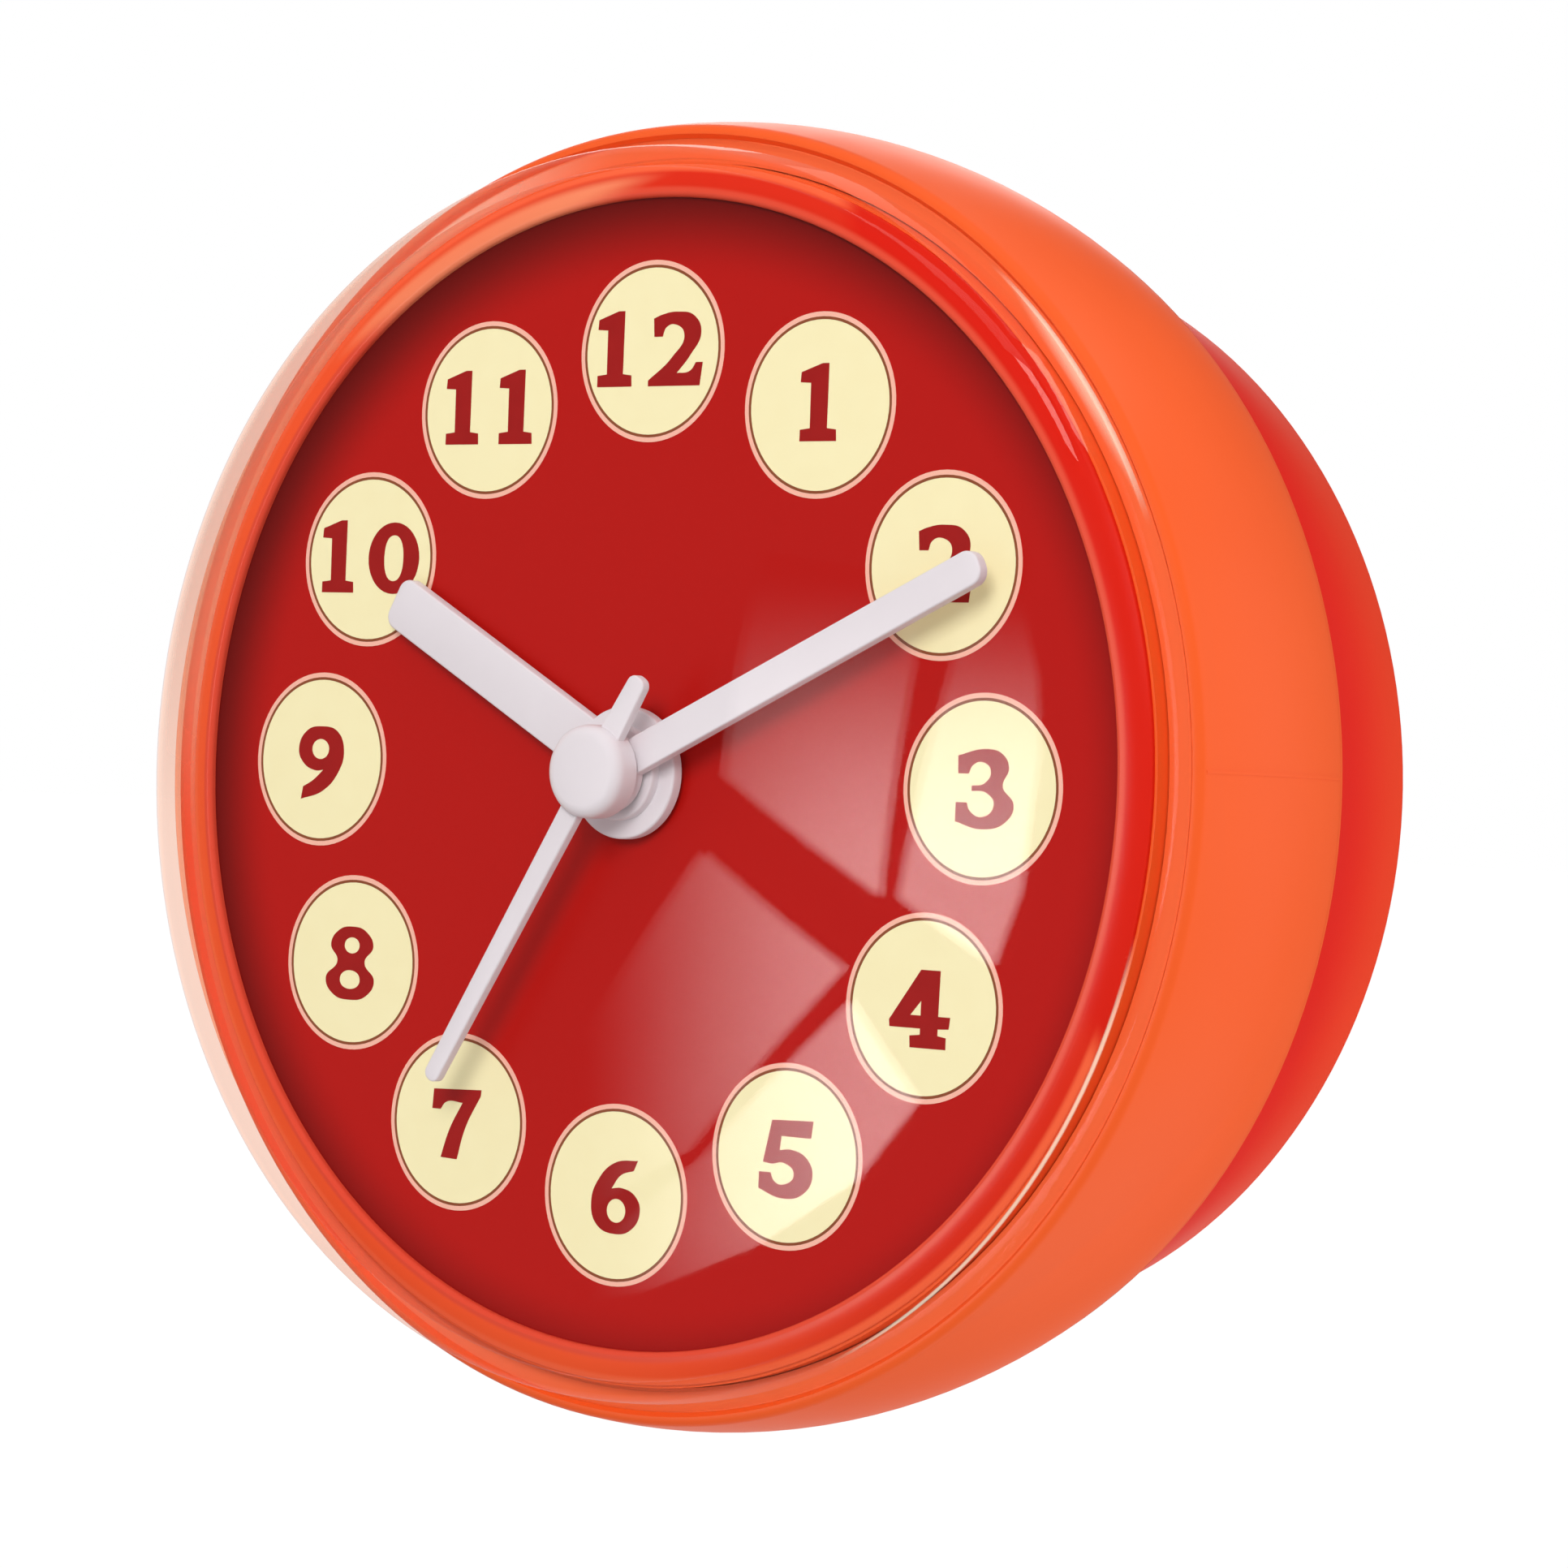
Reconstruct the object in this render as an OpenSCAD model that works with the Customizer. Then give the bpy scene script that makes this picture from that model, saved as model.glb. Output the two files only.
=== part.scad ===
// Round waterproof shower clock that sticks to a wall by a suction cup.
// The clock twists off its base for the battery and the set knob.
// Every piece is drawn around the clock's axis, with z as the distance from the wall, and is then
// turned so that the dial looks along -Y and 12 o'clock points along +Z. All sizes are in millimetres.

/* [Dial and ring] */
// Radius of the dial that shows inside the ring
dial_r = 40.9; // [38:0.1:44]
// Thickness of the dial sheet
dial_t = 0.5; // [0.3:0.1:1]
// How far the dial sheet reaches under the ring
dial_tuck = 1.5; // [0.8:0.1:1.8]
// Width of the flat ring around the dial
ring_w = 2.4; // [2:0.1:3.5]
// Height of the ring's lip above the dial
ring_h = 0.6; // [0.4:0.1:1]
// How far the ring's face falls from its lip to its outer edge
ring_fall = 0.8; // [0.3:0.1:0.9]

/* [Lens] */
// Wall thickness of the clear lens
lens_wall = 1.4; // [1.2:0.1:1.7]
// Height of the lens crown above the dial
lens_rise = 9.4; // [9:0.1:12]
// Height of the shoulder's centre above the dial
shoulder_h = 2.1; // [1.8:0.1:2.6]
// Outer radius of the rounded shoulder
shoulder_r = 2.0; // [1.8:0.1:2.4]
// How far the skirt leans in from its foot to the shoulder
skirt_draft = 0.9; // [0.4:0.1:1.2]
// Thickness of the gasket under the lens
lens_seal_t = 0.8; // [0.5:0.1:1.2]

/* [Drum] */
// Wall thickness of the drum
drum_wall = 2.4; // [1.8:0.1:2.8]
// Radius of the barrel curve along the drum's side
barrel_r = 36; // [30:1:60]
// How far the widest part lies in front of the drum's middle
crown_shift = 0.9; // [0:0.1:2]
// Width of the drum's lip around the lens
lip_w = 0.8; // [0.7:0.1:1.4]
// How far the drum's front edge lies behind the dial seat
front_drop = 0.9; // [0.5:0.1:1.2]
// Depth of the step that takes the lens
rebate_depth = 1.2; // [1:0.1:1.6]
// Thickness of the wall that carries the dial
bulkhead_t = 2.0; // [1.6:0.1:3]
// Rounding of the drum's rear edge
rear_round = 1.2; // [0.6:0.1:1.6]
// Rounding of the drum's front edge
front_round = 0.35; // [0.2:0.05:0.6]
// Radial width of the rear rim
rim_w = 2.5; // [2:0.1:3]
// Depth of the rear rim that the twist lugs lock behind
rim_h = 3.6; // [2.6:0.1:4]

/* [Base] */
// Height of the base from its rear rim to its shoulder
base_h = 15.7; // [13:0.1:20]
// How far the base's rear rim stands off the wall
lip_gap = 1.6; // [1:0.1:2.5]
// How much narrower the base is at the wall
base_taper = 3.4; // [2:0.1:6]
// Wall thickness of the base
base_wall = 2.3; // [1.8:0.1:3]
// Thickness of the web that closes the drum
web_t = 2.6; // [2:0.1:4]
// Width of the shoulder outside the rim's bore
shoulder_w = 1.3; // [1:0.1:1.8]
// Thickness of the gasket between base and drum
base_seal_t = 1.0; // [0.6:0.1:1.6]
// Wall of the spigot that enters the drum
spigot_t = 1.5; // [1.2:0.1:2]
// Turn that frees the clock from its base, in degrees
twist_deg = 30; // [26:1:40]
// Width of a twist lug, in degrees
lug_deg = 20; // [14:1:22]
// Height of a twist lug along the axis
lug_h = 1.8; // [1.4:0.1:2.4]

/* [Suction cup] */
// Depth of the hollow in the cup
cup_hollow = 7; // [5:0.1:8]
// Thickness of the cup at its boss
cup_t = 2.6; // [1.8:0.1:3]
// Width of the flat lip that meets the wall
lip_flat = 1.4; // [1:0.1:3]
// Thickness of the lip's edge
lip_t = 0.7; // [0.5:0.1:1.2]
// Radius of the cup's boss against the web
boss_r = 9; // [8:0.1:12]
// Radius of the stud that snaps through the web
stud_r = 4; // [3:0.1:5]
// Height of the stud's head
stud_head_h = 1.1; // [0.8:0.1:1.4]

/* [Hands] */
// Angle of the hour hand clockwise from 12, in degrees
hour_deg = 298.5; // [0:0.5:360]
// Angle of the minute hand clockwise from 12, in degrees
minute_deg = 63.8; // [0:0.1:360]
// Angle of the second hand clockwise from 12, in degrees
second_deg = 211.2; // [0:0.1:360]
// Length of the hour hand
hour_len = 25.3; // [20:0.1:30]
// Length of the minute hand
minute_len = 35; // [30:0.1:36]
// Length of the second hand
second_len = 26.5; // [24:0.1:34]
// Length of the second hand's tail
tail_len = 7.6; // [6:0.1:12]
// Width of the hour hand
hour_w = 3.9; // [3:0.1:5]
// Width of the minute hand
minute_w = 2.45; // [2:0.05:3.2]
// Width of the second hand
second_w = 1.5; // [1:0.05:2]
// Thickness of a hand's blade
blade_t = 0.9; // [0.7:0.05:1]
// Radius of the hour hand's disc
hour_disc_r = 4.7; // [4.2:0.1:5.5]
// Radius of the hour hand's boss
hour_boss_r = 3.4; // [3.2:0.1:3.8]
// Radius of the minute hand's hub
minute_hub_r = 2.8; // [2.4:0.1:3.4]
// Radius of the second hand's cap
cap_r = 3.3; // [2.8:0.1:3.8]
// Height of the second hand's cap
cap_h = 2.2; // [1.8:0.1:2.4]
// Gap between the dial and the hour hand
hand_lift = 0.5; // [0.4:0.1:0.8]
// Gap between one hand and the next
hand_gap = 0.3; // [0.25:0.05:0.5]

/* [Movement] */
// Height of the movement's case
mov_h = 56; // [54:0.5:60]
// Depth of the movement's case
mov_d = 16; // [15.6:0.1:18]
// Wall thickness of the movement's case
mov_wall = 1.2; // [1:0.1:1.6]
// Corner rounding of the movement's case
mov_round = 4; // [2.5:0.5:4]
// Depth of the rear cover
cover_d = 5; // [4.6:0.1:5.6]
// Radius of the battery cell
cell_r = 7.25; // [7:0.05:7.3]
// Length of the battery cell with its nub
cell_len = 50.5; // [49.5:0.1:51]
// Room for a contact between the cell's end and the case
contact_room = 1.55; // [1.3:0.05:2]
// Radius of the set knob
knob_r = 4.2; // [3.5:0.1:5]
// Height of the set knob
knob_h = 2.2; // [1.6:0.1:3]
// Room between the set knob and the base's web
knob_clear = 1.2; // [0.6:0.1:2]

/* [Wheel train] */
// Tooth size of the running train
train_m = 0.25; // [0.24:0.005:0.26]
// Tooth size of the motion work between minutes and hours
motion_m = 0.25; // [0.24:0.005:0.26]
// Thickness of a wheel
wheel_t = 0.7; // [0.5:0.05:0.8]
// Thickness of a pinion
pinion_t = 1.3; // [1:0.05:1.4]
// Radius of a wheel's arbor
arbor_r = 0.5; // [0.4:0.05:0.6]
// Outer radius of the tube that carries the hour hand
hour_tube_r = 2.5; // [2.4:0.05:2.6]
// Outer radius of the tube that carries the minute hand
minute_tube_r = 1.7; // [1.5:0.05:1.8]

/* [Hidden] */
$fn = 64;

// Clearances: a turning shaft, a loose fit between fixed pieces, and a gap between moving pieces
run_gap = 0.05;
fit_gap = 0.2;
move_gap = 0.3;
face_gap = 0.1;
// Overlap that makes a cut pass clean through
cut = 1;

// Stack along the axis, from the wall to the lens crown
z_shoulder = lip_gap + base_h;
z_web = z_shoulder - web_t;
z_rear = z_shoulder + base_seal_t + face_gap;
z_cover = z_shoulder + knob_clear + knob_h + move_gap;
z_split = z_cover + cover_d;
z_wall = z_cover + mov_d;
z_seat = z_wall + bulkhead_t;
z_dial = z_seat + dial_t;
z_front = z_seat - front_drop;
z_ledge = z_front - rebate_depth;
z_lens = z_ledge + lens_seal_t;
z_crown = z_dial + lens_rise;

// Radii of the front, from the dial outwards
ring_r = dial_r + ring_w;
platform_r = ring_r + fit_gap;
lens_in_r = platform_r + move_gap;
lens_r = lens_in_r + lens_wall;
rebate_r = lens_r + fit_gap;
front_r = rebate_r + lip_w;

// Barrel curve of the drum: a circle in the section, widest a little in front of the middle
z_crest = (z_rear + z_front) / 2 + crown_shift;
barrel_x = front_r - sqrt(barrel_r ^ 2 - (z_front - z_crest) ^ 2);
function barrel_at(z, r) = barrel_x + sqrt(r ^ 2 - (z - z_crest) ^ 2);
inner_r = barrel_r - drum_wall;

// Twist lock between drum and base
rim_bore = barrel_at(z_rear, barrel_r) - rim_w;
z_rim = z_rear + rim_h;
z_lug = z_rim + move_gap;
z_spigot = z_lug + lug_h;
spigot_r = rim_bore - move_gap;
lug_r = barrel_at(z_rim, inner_r) - move_gap - fit_gap;
lug_count = 3;
lug_play = 3;
stop_deg = 4;

// Base and cup
base_r = rim_bore + shoulder_w;
base_foot_r = base_r - base_taper;
foot_round = 0.9;
cup_play = 0.7;
cup_r = base_foot_r - base_wall - cup_play;
stud_lip = 1.2;
stud_taper = 0.8;

// Lens dome: a sphere that meets the shoulder's circle smoothly
shoulder_x = lens_r - skirt_draft - shoulder_r;
shoulder_z = z_dial + shoulder_h;
dome_b = z_crown - shoulder_z - shoulder_r;
dome_u = (shoulder_x ^ 2 - dome_b ^ 2) / (2 * dome_b);
dome_z = shoulder_z - dome_u;
dome_r = z_crown - dome_z;
dome_deg = atan2(dome_u, shoulder_x);
skirt_deg = 15;
skirt_up = 0.5;

// Hands above the dial
z_hour = z_dial + hand_lift;
boss_step = 0.8;
hub_step = 0.1;
cap_edge = 0.5;
cap_top = 0.7;
second_lift = 0.5;
z_hour_top = z_hour + blade_t + boss_step;
z_minute = z_hour_top + hand_gap;
z_minute_top = z_minute + blade_t + hub_step;
z_cap = z_minute_top + hand_gap;
z_cap_top = z_cap + cap_h;

// Movement layout, seen from the front with the arbor of the hands at the middle
mov_w = cell_len + 2 * (contact_room + mov_wall);
half_w = mov_w / 2;
half_h = mov_h / 2;
bay_gap = 0.2;
cell_y = -half_h + mov_wall + bay_gap + cell_r;
bay_top = cell_y + cell_r + bay_gap;
gear_floor = bay_top + mov_wall;
z_cell = z_wall - mov_wall - bay_gap - cell_r;
contact_t = 0.4;
cell_x = half_w - mov_wall - contact_t - face_gap;
lug_out = 3.2;
lug_x = half_w + lug_out;
lug_y = 8;
lug_drop = 6;
lug_pad_r = 3;
lug_t = 2;
screw_r = 0.85;
screw_head_h = 1.2;
screw_short = 1;
collar_r = 3.6;

// Tooth counts: step motor to seconds 30:1, seconds to minutes 60:1, minutes to hours 12:1
rotor_n = 12;
step_n = 60;
step_pinion_n = 10;
second_n = 60;
second_pinion_n = 8;
third_n = 60;
third_pinion_n = 8;
centre_n = 64;
cannon_n = 12;
minute_n = 36;
minute_pinion_n = 10;
hour_n = 40;
setting_n = 12;

// Centre distances, and the tooth sizes that share them
third_a = train_m * (second_pinion_n + third_n) / 2;
centre_m = 2 * third_a / (third_pinion_n + centre_n);
minute_a = motion_m * (cannon_n + minute_n) / 2;
hour_m = 2 * minute_a / (minute_pinion_n + hour_n);
setting_a = motion_m * (minute_n + setting_n) / 2;
step_a = train_m * (step_pinion_n + second_n) / 2;
rotor_a = train_m * (rotor_n + step_n) / 2;

// Directions of the arbors from one to the next, and where they stand
third_dir = 160;
minute_dir = 20;
step_dir = 100;
rotor_dir = 30;
function polar(r, a) = [r * cos(a), r * sin(a)];
third_p = polar(third_a, third_dir);
minute_p = polar(minute_a, minute_dir);
setting_p = minute_p + polar(setting_a, minute_dir);
step_p = polar(step_a, step_dir);
rotor_p = step_p + polar(rotor_a, rotor_dir);

// Levels of the train, counted back from the inside of the movement's front wall
z_inside = z_wall - mov_wall;
hour_under = 0.4;
minute_under = 1;
centre_under = 0.8;
third_under = 1.8;
second_under = 1.2;
step_under = 1.6;
z_hour_wheel = z_inside - hour_under - wheel_t;
z_minute_wheel = z_hour_wheel - minute_under - wheel_t;
z_centre_wheel = z_minute_wheel - centre_under - wheel_t;
z_third_wheel = z_centre_wheel - third_under - wheel_t;
z_second_wheel = z_third_wheel - second_under - wheel_t;
z_step_wheel = z_second_wheel - step_under - wheel_t;
z_bearing = z_cover + mov_wall;
pivot_deep = 0.6;
bearing_r = 1.4;
cannon_wall = 0.4;
z_motor = z_second_wheel - face_gap;
plate_t = 0.8;
magnet_r = 2.3;
magnet_h = 2.2;
z_magnet = z_motor - (magnet_h - plate_t) / 2;
rotor_room = 1;
z_rotor_end = z_motor + magnet_h + rotor_room;

// Stator legs, seen from the rotor, and the coil core across their ends
leg_w = 4.5;
leg_gap = 7.5;
coil_room = 2.3;
leg_top = half_h - mov_wall - coil_room - rotor_p[1];
leg_low = 2.2;
pole_w = 1.7;
core_w = 3;
leg_posts = [for (x = [-1, 1]) rotor_p + [x * (leg_gap + leg_w) / 2, (leg_top - leg_low) / 2]];

// Circuit board, on two posts, and the crystal on it
board_w = 13;
board_h = 12;
board_gap = 0.6;
board_inset = 2.5;
board_p = [-half_w + mov_wall + board_gap, half_h - mov_wall - board_gap - board_h];
board_posts = [board_p + [board_inset, board_inset],
    board_p + [board_w - board_inset, board_h - board_inset]];
crystal_r = 1;
crystal_len = 6;
chip_r = 2.4;
chip_h = 1;

// Turn of a gear that meshes with another: teeth of one face gaps of the other
function mesh_turn(turn, n, next_n, dir) = dir + 180 - 180 / next_n + (dir - turn) * n / next_n;
third_turn = mesh_turn(0, second_pinion_n, third_n, third_dir);
centre_turn = mesh_turn(0, third_pinion_n, centre_n, third_dir + 180);
minute_turn = mesh_turn(0, cannon_n, minute_n, minute_dir);
hour_turn = mesh_turn(0, minute_pinion_n, hour_n, minute_dir + 180);
setting_turn = mesh_turn(minute_turn, minute_n, setting_n, minute_dir);
step_turn = mesh_turn(0, second_n, step_pinion_n, step_dir);
rotor_turn = mesh_turn(0, step_n, rotor_n, rotor_dir);

// Colours
drum_orange = [0.93, 0.36, 0.17];
base_red = [0.85, 0.22, 0.1];
dial_red = [0.68, 0.1, 0.09];
hand_white = [0.88, 0.87, 0.9];
case_black = [0.12, 0.12, 0.13];
wheel_white = [0.9, 0.9, 0.84];
steel = [0.62, 0.63, 0.65];
brass = [0.78, 0.62, 0.3];
seal_grey = [0.35, 0.35, 0.36];

// Points on an arc about c, from angle a0 to a1
function arc(c, r, a0, a1, n = 8) = [for (i = [0:n])
    let (a = a0 + (a1 - a0) * i / n) [c[0] + r * cos(a), c[1] + r * sin(a)]];

// From the axis to the part's frame: the dial looks along -Y
module upright() {
    rotate([90, 0, 0]) children();
}

// Solid of revolution about the clock's axis from (radius, distance from the wall) points
module turned(points) {
    rotate_extrude($fn = 128) polygon(points);
}

// Ring with a rectangular section
module washer(r_in, r_out, z, h) {
    turned([[r_in, z], [r_out, z], [r_out, z + h], [r_in, z + h]]);
}

// Sector of a ring that starts at angle a and spans w degrees
module sector(r_in, r_out, z, h, a, w) {
    rotate([0, 0, a]) rotate_extrude(angle = w, $fn = 128)
        translate([r_in, z]) square([r_out - r_in, h]);
}

// Upright cylinder at a point of the movement's plan
module post(p, z0, z1, r) {
    translate([p[0], p[1], z0]) cylinder(h = z1 - z0, r = r);
}

// Plate of the movement's outline, with rounded corners
module movement_plate(t) {
    r = mov_round;
    linear_extrude(t) union() {
        square([mov_w, mov_h - 2 * r], center = true);
        square([mov_w - 2 * r, mov_h], center = true);
        for (x = [-1, 1], y = [-1, 1]) translate([x * (half_w - r), y * (half_h - r)]) circle(r);
    }
}

// Gear outline: wheels have tapered teeth, pinions slim leaves with nearly radial flanks
addendum = 0.8;
dedendum = 1.2;
tip_half = 0.3;
root_half = 0.95;
leaf_half = 0.5;
leaf_limit = 12;
function tooth(n, m) = let (
        root = n * m / 2 - dedendum * m,
        tip = n * m / 2 + addendum * m,
        foot = (n > leaf_limit ? root_half : leaf_half) * m / root * 180 / PI,
        point = tip_half * m / tip * 180 / PI)
    [[root, -foot], [tip, -point], [tip, point], [root, foot]];
function gear_points(n, m) = [for (i = [0:n - 1], p = tooth(n, m)) polar(p[0], p[1] + i * 360 / n)];
module gear(n, m, t, turn) {
    rotate([0, 0, turn]) linear_extrude(t) polygon(gear_points(n, m));
}

// Gear at a point of the movement's plan
module arbor_wheel(p, n, m, z, t, turn) {
    translate([p[0], p[1], z]) gear(n, m, t, turn);
}

// Blade of a hand, pointing to 12, with a softly rounded blunt tip
module blade(w_root, w_tip, len, t, tip_round) {
    linear_extrude(t) polygon(concat(
        [[-w_root / 2, 0]],
        arc([-w_tip / 2 + tip_round, len - tip_round], tip_round, 180, 90, 4),
        arc([w_tip / 2 - tip_round, len - tip_round], tip_round, 90, 0, 4),
        [[w_root / 2, 0]]));
}

// Base

module back_base() {
    foot_x = base_foot_r - foot_round;
    color(base_red) upright() union() {
        turned(concat(
            [[stud_r + face_gap, z_web], [base_r - base_wall, z_web], [base_foot_r - base_wall, lip_gap]],
            arc([foot_x, lip_gap + foot_round], foot_round, -90, 0, 4),
            arc([base_r - foot_round, z_shoulder - foot_round], foot_round, 0, 90, 4),
            [[spigot_r, z_shoulder], [spigot_r, z_spigot], [spigot_r - spigot_t, z_spigot],
                [spigot_r - spigot_t, z_shoulder], [stud_r + face_gap, z_shoulder]]));
        for (i = [0:lug_count - 1])
            sector(spigot_r - spigot_t / 2, lug_r, z_lug, lug_h - fit_gap,
                90 + i * 360 / lug_count - lug_deg / 2, lug_deg);
    }
}

module suction_cup() {
    hollow_r = cup_r - lip_flat;
    hollow_arc = (hollow_r ^ 2 + cup_hollow ^ 2) / (2 * cup_hollow);
    hollow_deg = asin(hollow_r / hollow_arc);
    back_r = cup_r - boss_r;
    back_h = cup_hollow + cup_t - lip_t;
    color([0.9, 0.36, 0.2, 0.85]) upright() turned(concat(
        [[hollow_r, 0], [cup_r, 0], [cup_r, lip_t]],
        [for (i = [1:6]) [cup_r - back_r * i / 6, lip_t + back_h * sin(90 * i / 6)]],
        [[boss_r, z_web], [stud_r, z_web], [stud_r, z_shoulder], [stud_r + stud_lip, z_shoulder],
            [stud_r + stud_lip - stud_taper, z_shoulder + stud_head_h], [0, z_shoulder + stud_head_h]],
        arc([0, cup_hollow - hollow_arc], hollow_arc, 90, 90 - hollow_deg, 10)));
}

module base_seal() {
    color(seal_grey) upright()
        washer(spigot_r + face_gap, base_r - foot_round, z_shoulder, base_seal_t);
}

// Case

module drum_shell() {
    rear_z = z_rear + rear_round;
    rear_x = barrel_at(rear_z, barrel_r - rear_round);
    front_z = z_front - front_round;
    front_x = barrel_at(front_z, barrel_r - front_round);
    rear_a = atan2(rear_z - z_crest, rear_x - barrel_x);
    front_a = atan2(front_z - z_crest, front_x - barrel_x);
    z_web_in = z_ledge - bulkhead_t;
    in_a0 = asin((z_rim - z_crest) / inner_r);
    in_a1 = asin((z_web_in - z_crest) / inner_r);
    color(drum_orange) upright() difference() {
        union() {
            turned(concat(
                [[rim_bore, z_rear]],
                arc([rear_x, rear_z], rear_round, -90, rear_a, 6),
                arc([barrel_x, z_crest], barrel_r, rear_a, front_a, 20),
                arc([front_x, front_z], front_round, front_a, 90, 4),
                [[rebate_r, z_front], [rebate_r, z_ledge], [platform_r, z_ledge],
                    [platform_r, z_seat], [collar_r + move_gap, z_seat], [collar_r + move_gap, z_wall],
                    [platform_r - bulkhead_t, z_wall], [platform_r - bulkhead_t, z_web_in]],
                arc([barrel_x, z_crest], inner_r, in_a1, in_a0, 12),
                [[rim_bore, z_rim]]));
            for (x = [-1, 1])
                post([x * lug_x, lug_y], z_wall - lug_drop, z_wall + bulkhead_t / 2, lug_pad_r);
            for (i = [0:lug_count - 1])
                sector(rim_bore + fit_gap, barrel_at(z_rim, barrel_r) - rim_w / 2, z_rim - lug_h / 2, lug_h,
                    90 + i * 360 / lug_count + lug_deg / 2 + 0.5, stop_deg);
        }
        for (i = [0:lug_count - 1])
            sector(rim_bore - cut, lug_r + move_gap, z_rear - cut, rim_h + lug_h + 2 * cut,
                90 + i * 360 / lug_count - twist_deg - lug_deg / 2 - lug_play, lug_deg + 2 * lug_play);
        for (x = [-1, 1])
            post([x * lug_x, lug_y], z_wall - lug_drop - cut, z_wall - fit_gap, screw_r);
    }
}

module dial_ring() {
    lip = 0.25;
    color(drum_orange) upright() turned(concat(
        [[dial_r, z_dial]],
        arc([dial_r + lip, z_dial + ring_h - lip], lip, 180, 90, 4),
        [[ring_r, z_dial + ring_h - ring_fall], [ring_r, z_seat], [dial_r + dial_tuck + face_gap, z_seat],
            [dial_r + dial_tuck + face_gap, z_dial]]));
}

module dial() {
    color(dial_red) upright() washer(collar_r + move_gap, dial_r + dial_tuck, z_seat, dial_t);
}

module lens() {
    foot_z = z_front + skirt_up;
    color([0.9, 0.95, 1, 0.3]) upright() turned(concat(
        [[lens_in_r, z_lens], [lens_r, z_lens], [lens_r, foot_z]],
        arc([shoulder_x, shoulder_z], shoulder_r, skirt_deg, dome_deg, 8),
        arc([0, dome_z], dome_r, dome_deg, 90, 16),
        arc([0, dome_z], dome_r - lens_wall, 90, dome_deg, 16),
        arc([shoulder_x, shoulder_z], shoulder_r - lens_wall, dome_deg, skirt_deg, 4),
        [[lens_in_r, foot_z]]));
}

module lens_seal() {
    color(seal_grey) upright() washer(platform_r + face_gap, rebate_r - face_gap, z_ledge, lens_seal_t);
}

// Hands

module hour_hand() {
    color(hand_white) upright() difference() {
        union() {
            translate([0, 0, z_hour]) rotate([0, 0, -hour_deg])
                blade(hour_w, hour_w, hour_len, blade_t, hour_w / 4);
            post([0, 0], z_hour, z_hour + blade_t, hour_disc_r);
            post([0, 0], z_hour, z_hour_top, hour_boss_r);
        }
        post([0, 0], z_hour - cut, z_hour_top + cut, hour_tube_r);
    }
}

module minute_hand() {
    color(hand_white) upright() difference() {
        union() {
            translate([0, 0, z_minute]) rotate([0, 0, -minute_deg])
                blade(minute_w * 1.05, minute_w, minute_len, blade_t, minute_w / 3);
            post([0, 0], z_minute, z_minute_top, minute_hub_r);
        }
        post([0, 0], z_minute - cut, z_minute_top + cut, minute_tube_r);
    }
}

module second_hand() {
    z_blade = z_cap + second_lift;
    color(hand_white) upright() difference() {
        union() {
            translate([0, 0, z_blade]) rotate([0, 0, -second_deg])
                blade(second_w * 1.15, second_w * 0.9, second_len, blade_t * 0.8, second_w / 4);
            translate([0, 0, z_blade]) rotate([0, 0, 180 - second_deg])
                blade(second_w * 1.25, second_w, tail_len, blade_t * 0.8, second_w * 0.45);
            post([0, 0], z_cap, z_cap_top - cap_edge, cap_r);
            translate([0, 0, z_cap_top - cap_edge])
                cylinder(h = cap_edge, r1 = cap_r, r2 = cap_r - cap_edge);
        }
        post([0, 0], z_cap - cut, z_cap_top - cap_top, arbor_r);
    }
}

// Movement case

module movement_case() {
    bay_w = mov_w - 2 * mov_wall;
    color(case_black) upright() difference() {
        union() {
            difference() {
                union() {
                    translate([0, 0, z_split]) movement_plate(z_wall - z_split);
                    intersection() {
                        translate([0, 0, z_cover]) movement_plate(cover_d + cut);
                        translate([-half_w, -half_h, z_cover])
                            cube([mov_w, gear_floor + half_h, cover_d + cut]);
                    }
                    for (x = [-1, 1]) {
                        post([x * lug_x, lug_y], z_wall - lug_drop - lug_t, z_wall - lug_drop, lug_pad_r);
                        translate([x * (half_w + lug_x) / 2, lug_y, z_wall - lug_drop - lug_t / 2])
                            cube([lug_x - half_w + mov_wall, 2 * lug_pad_r, lug_t], center = true);
                    }
                }
                translate([-bay_w / 2, gear_floor, z_split - cut])
                    cube([bay_w, half_h - mov_wall - gear_floor, z_inside - z_split + cut]);
                translate([-bay_w / 2, -half_h + mov_wall, z_cover - cut])
                    cube([bay_w, bay_top + half_h - mov_wall, z_inside - z_cover + cut]);
            }
            post([0, 0], z_inside, z_seat, collar_r);
            post(rotor_p, z_rotor_end, z_inside + cut / 2, bearing_r);
            for (p = concat(leg_posts, board_posts))
                post(p, z_motor + plate_t, z_inside + cut / 2, bearing_r);
            post(minute_p, z_minute_wheel - move_gap, z_inside + cut / 2, arbor_r);
        }
        post([0, 0], z_inside - cut, z_seat + cut, hour_tube_r + run_gap);
        for (p = [third_p, step_p, setting_p])
            post(p, z_inside - cut, z_inside + pivot_deep, arbor_r + run_gap);
        post(rotor_p, z_rotor_end - cut, z_rotor_end + pivot_deep, arbor_r + run_gap);
        for (x = [-1, 1])
            post([x * lug_x, lug_y], z_wall - lug_drop - lug_t - cut, z_wall, screw_r + fit_gap);
    }
}

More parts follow.
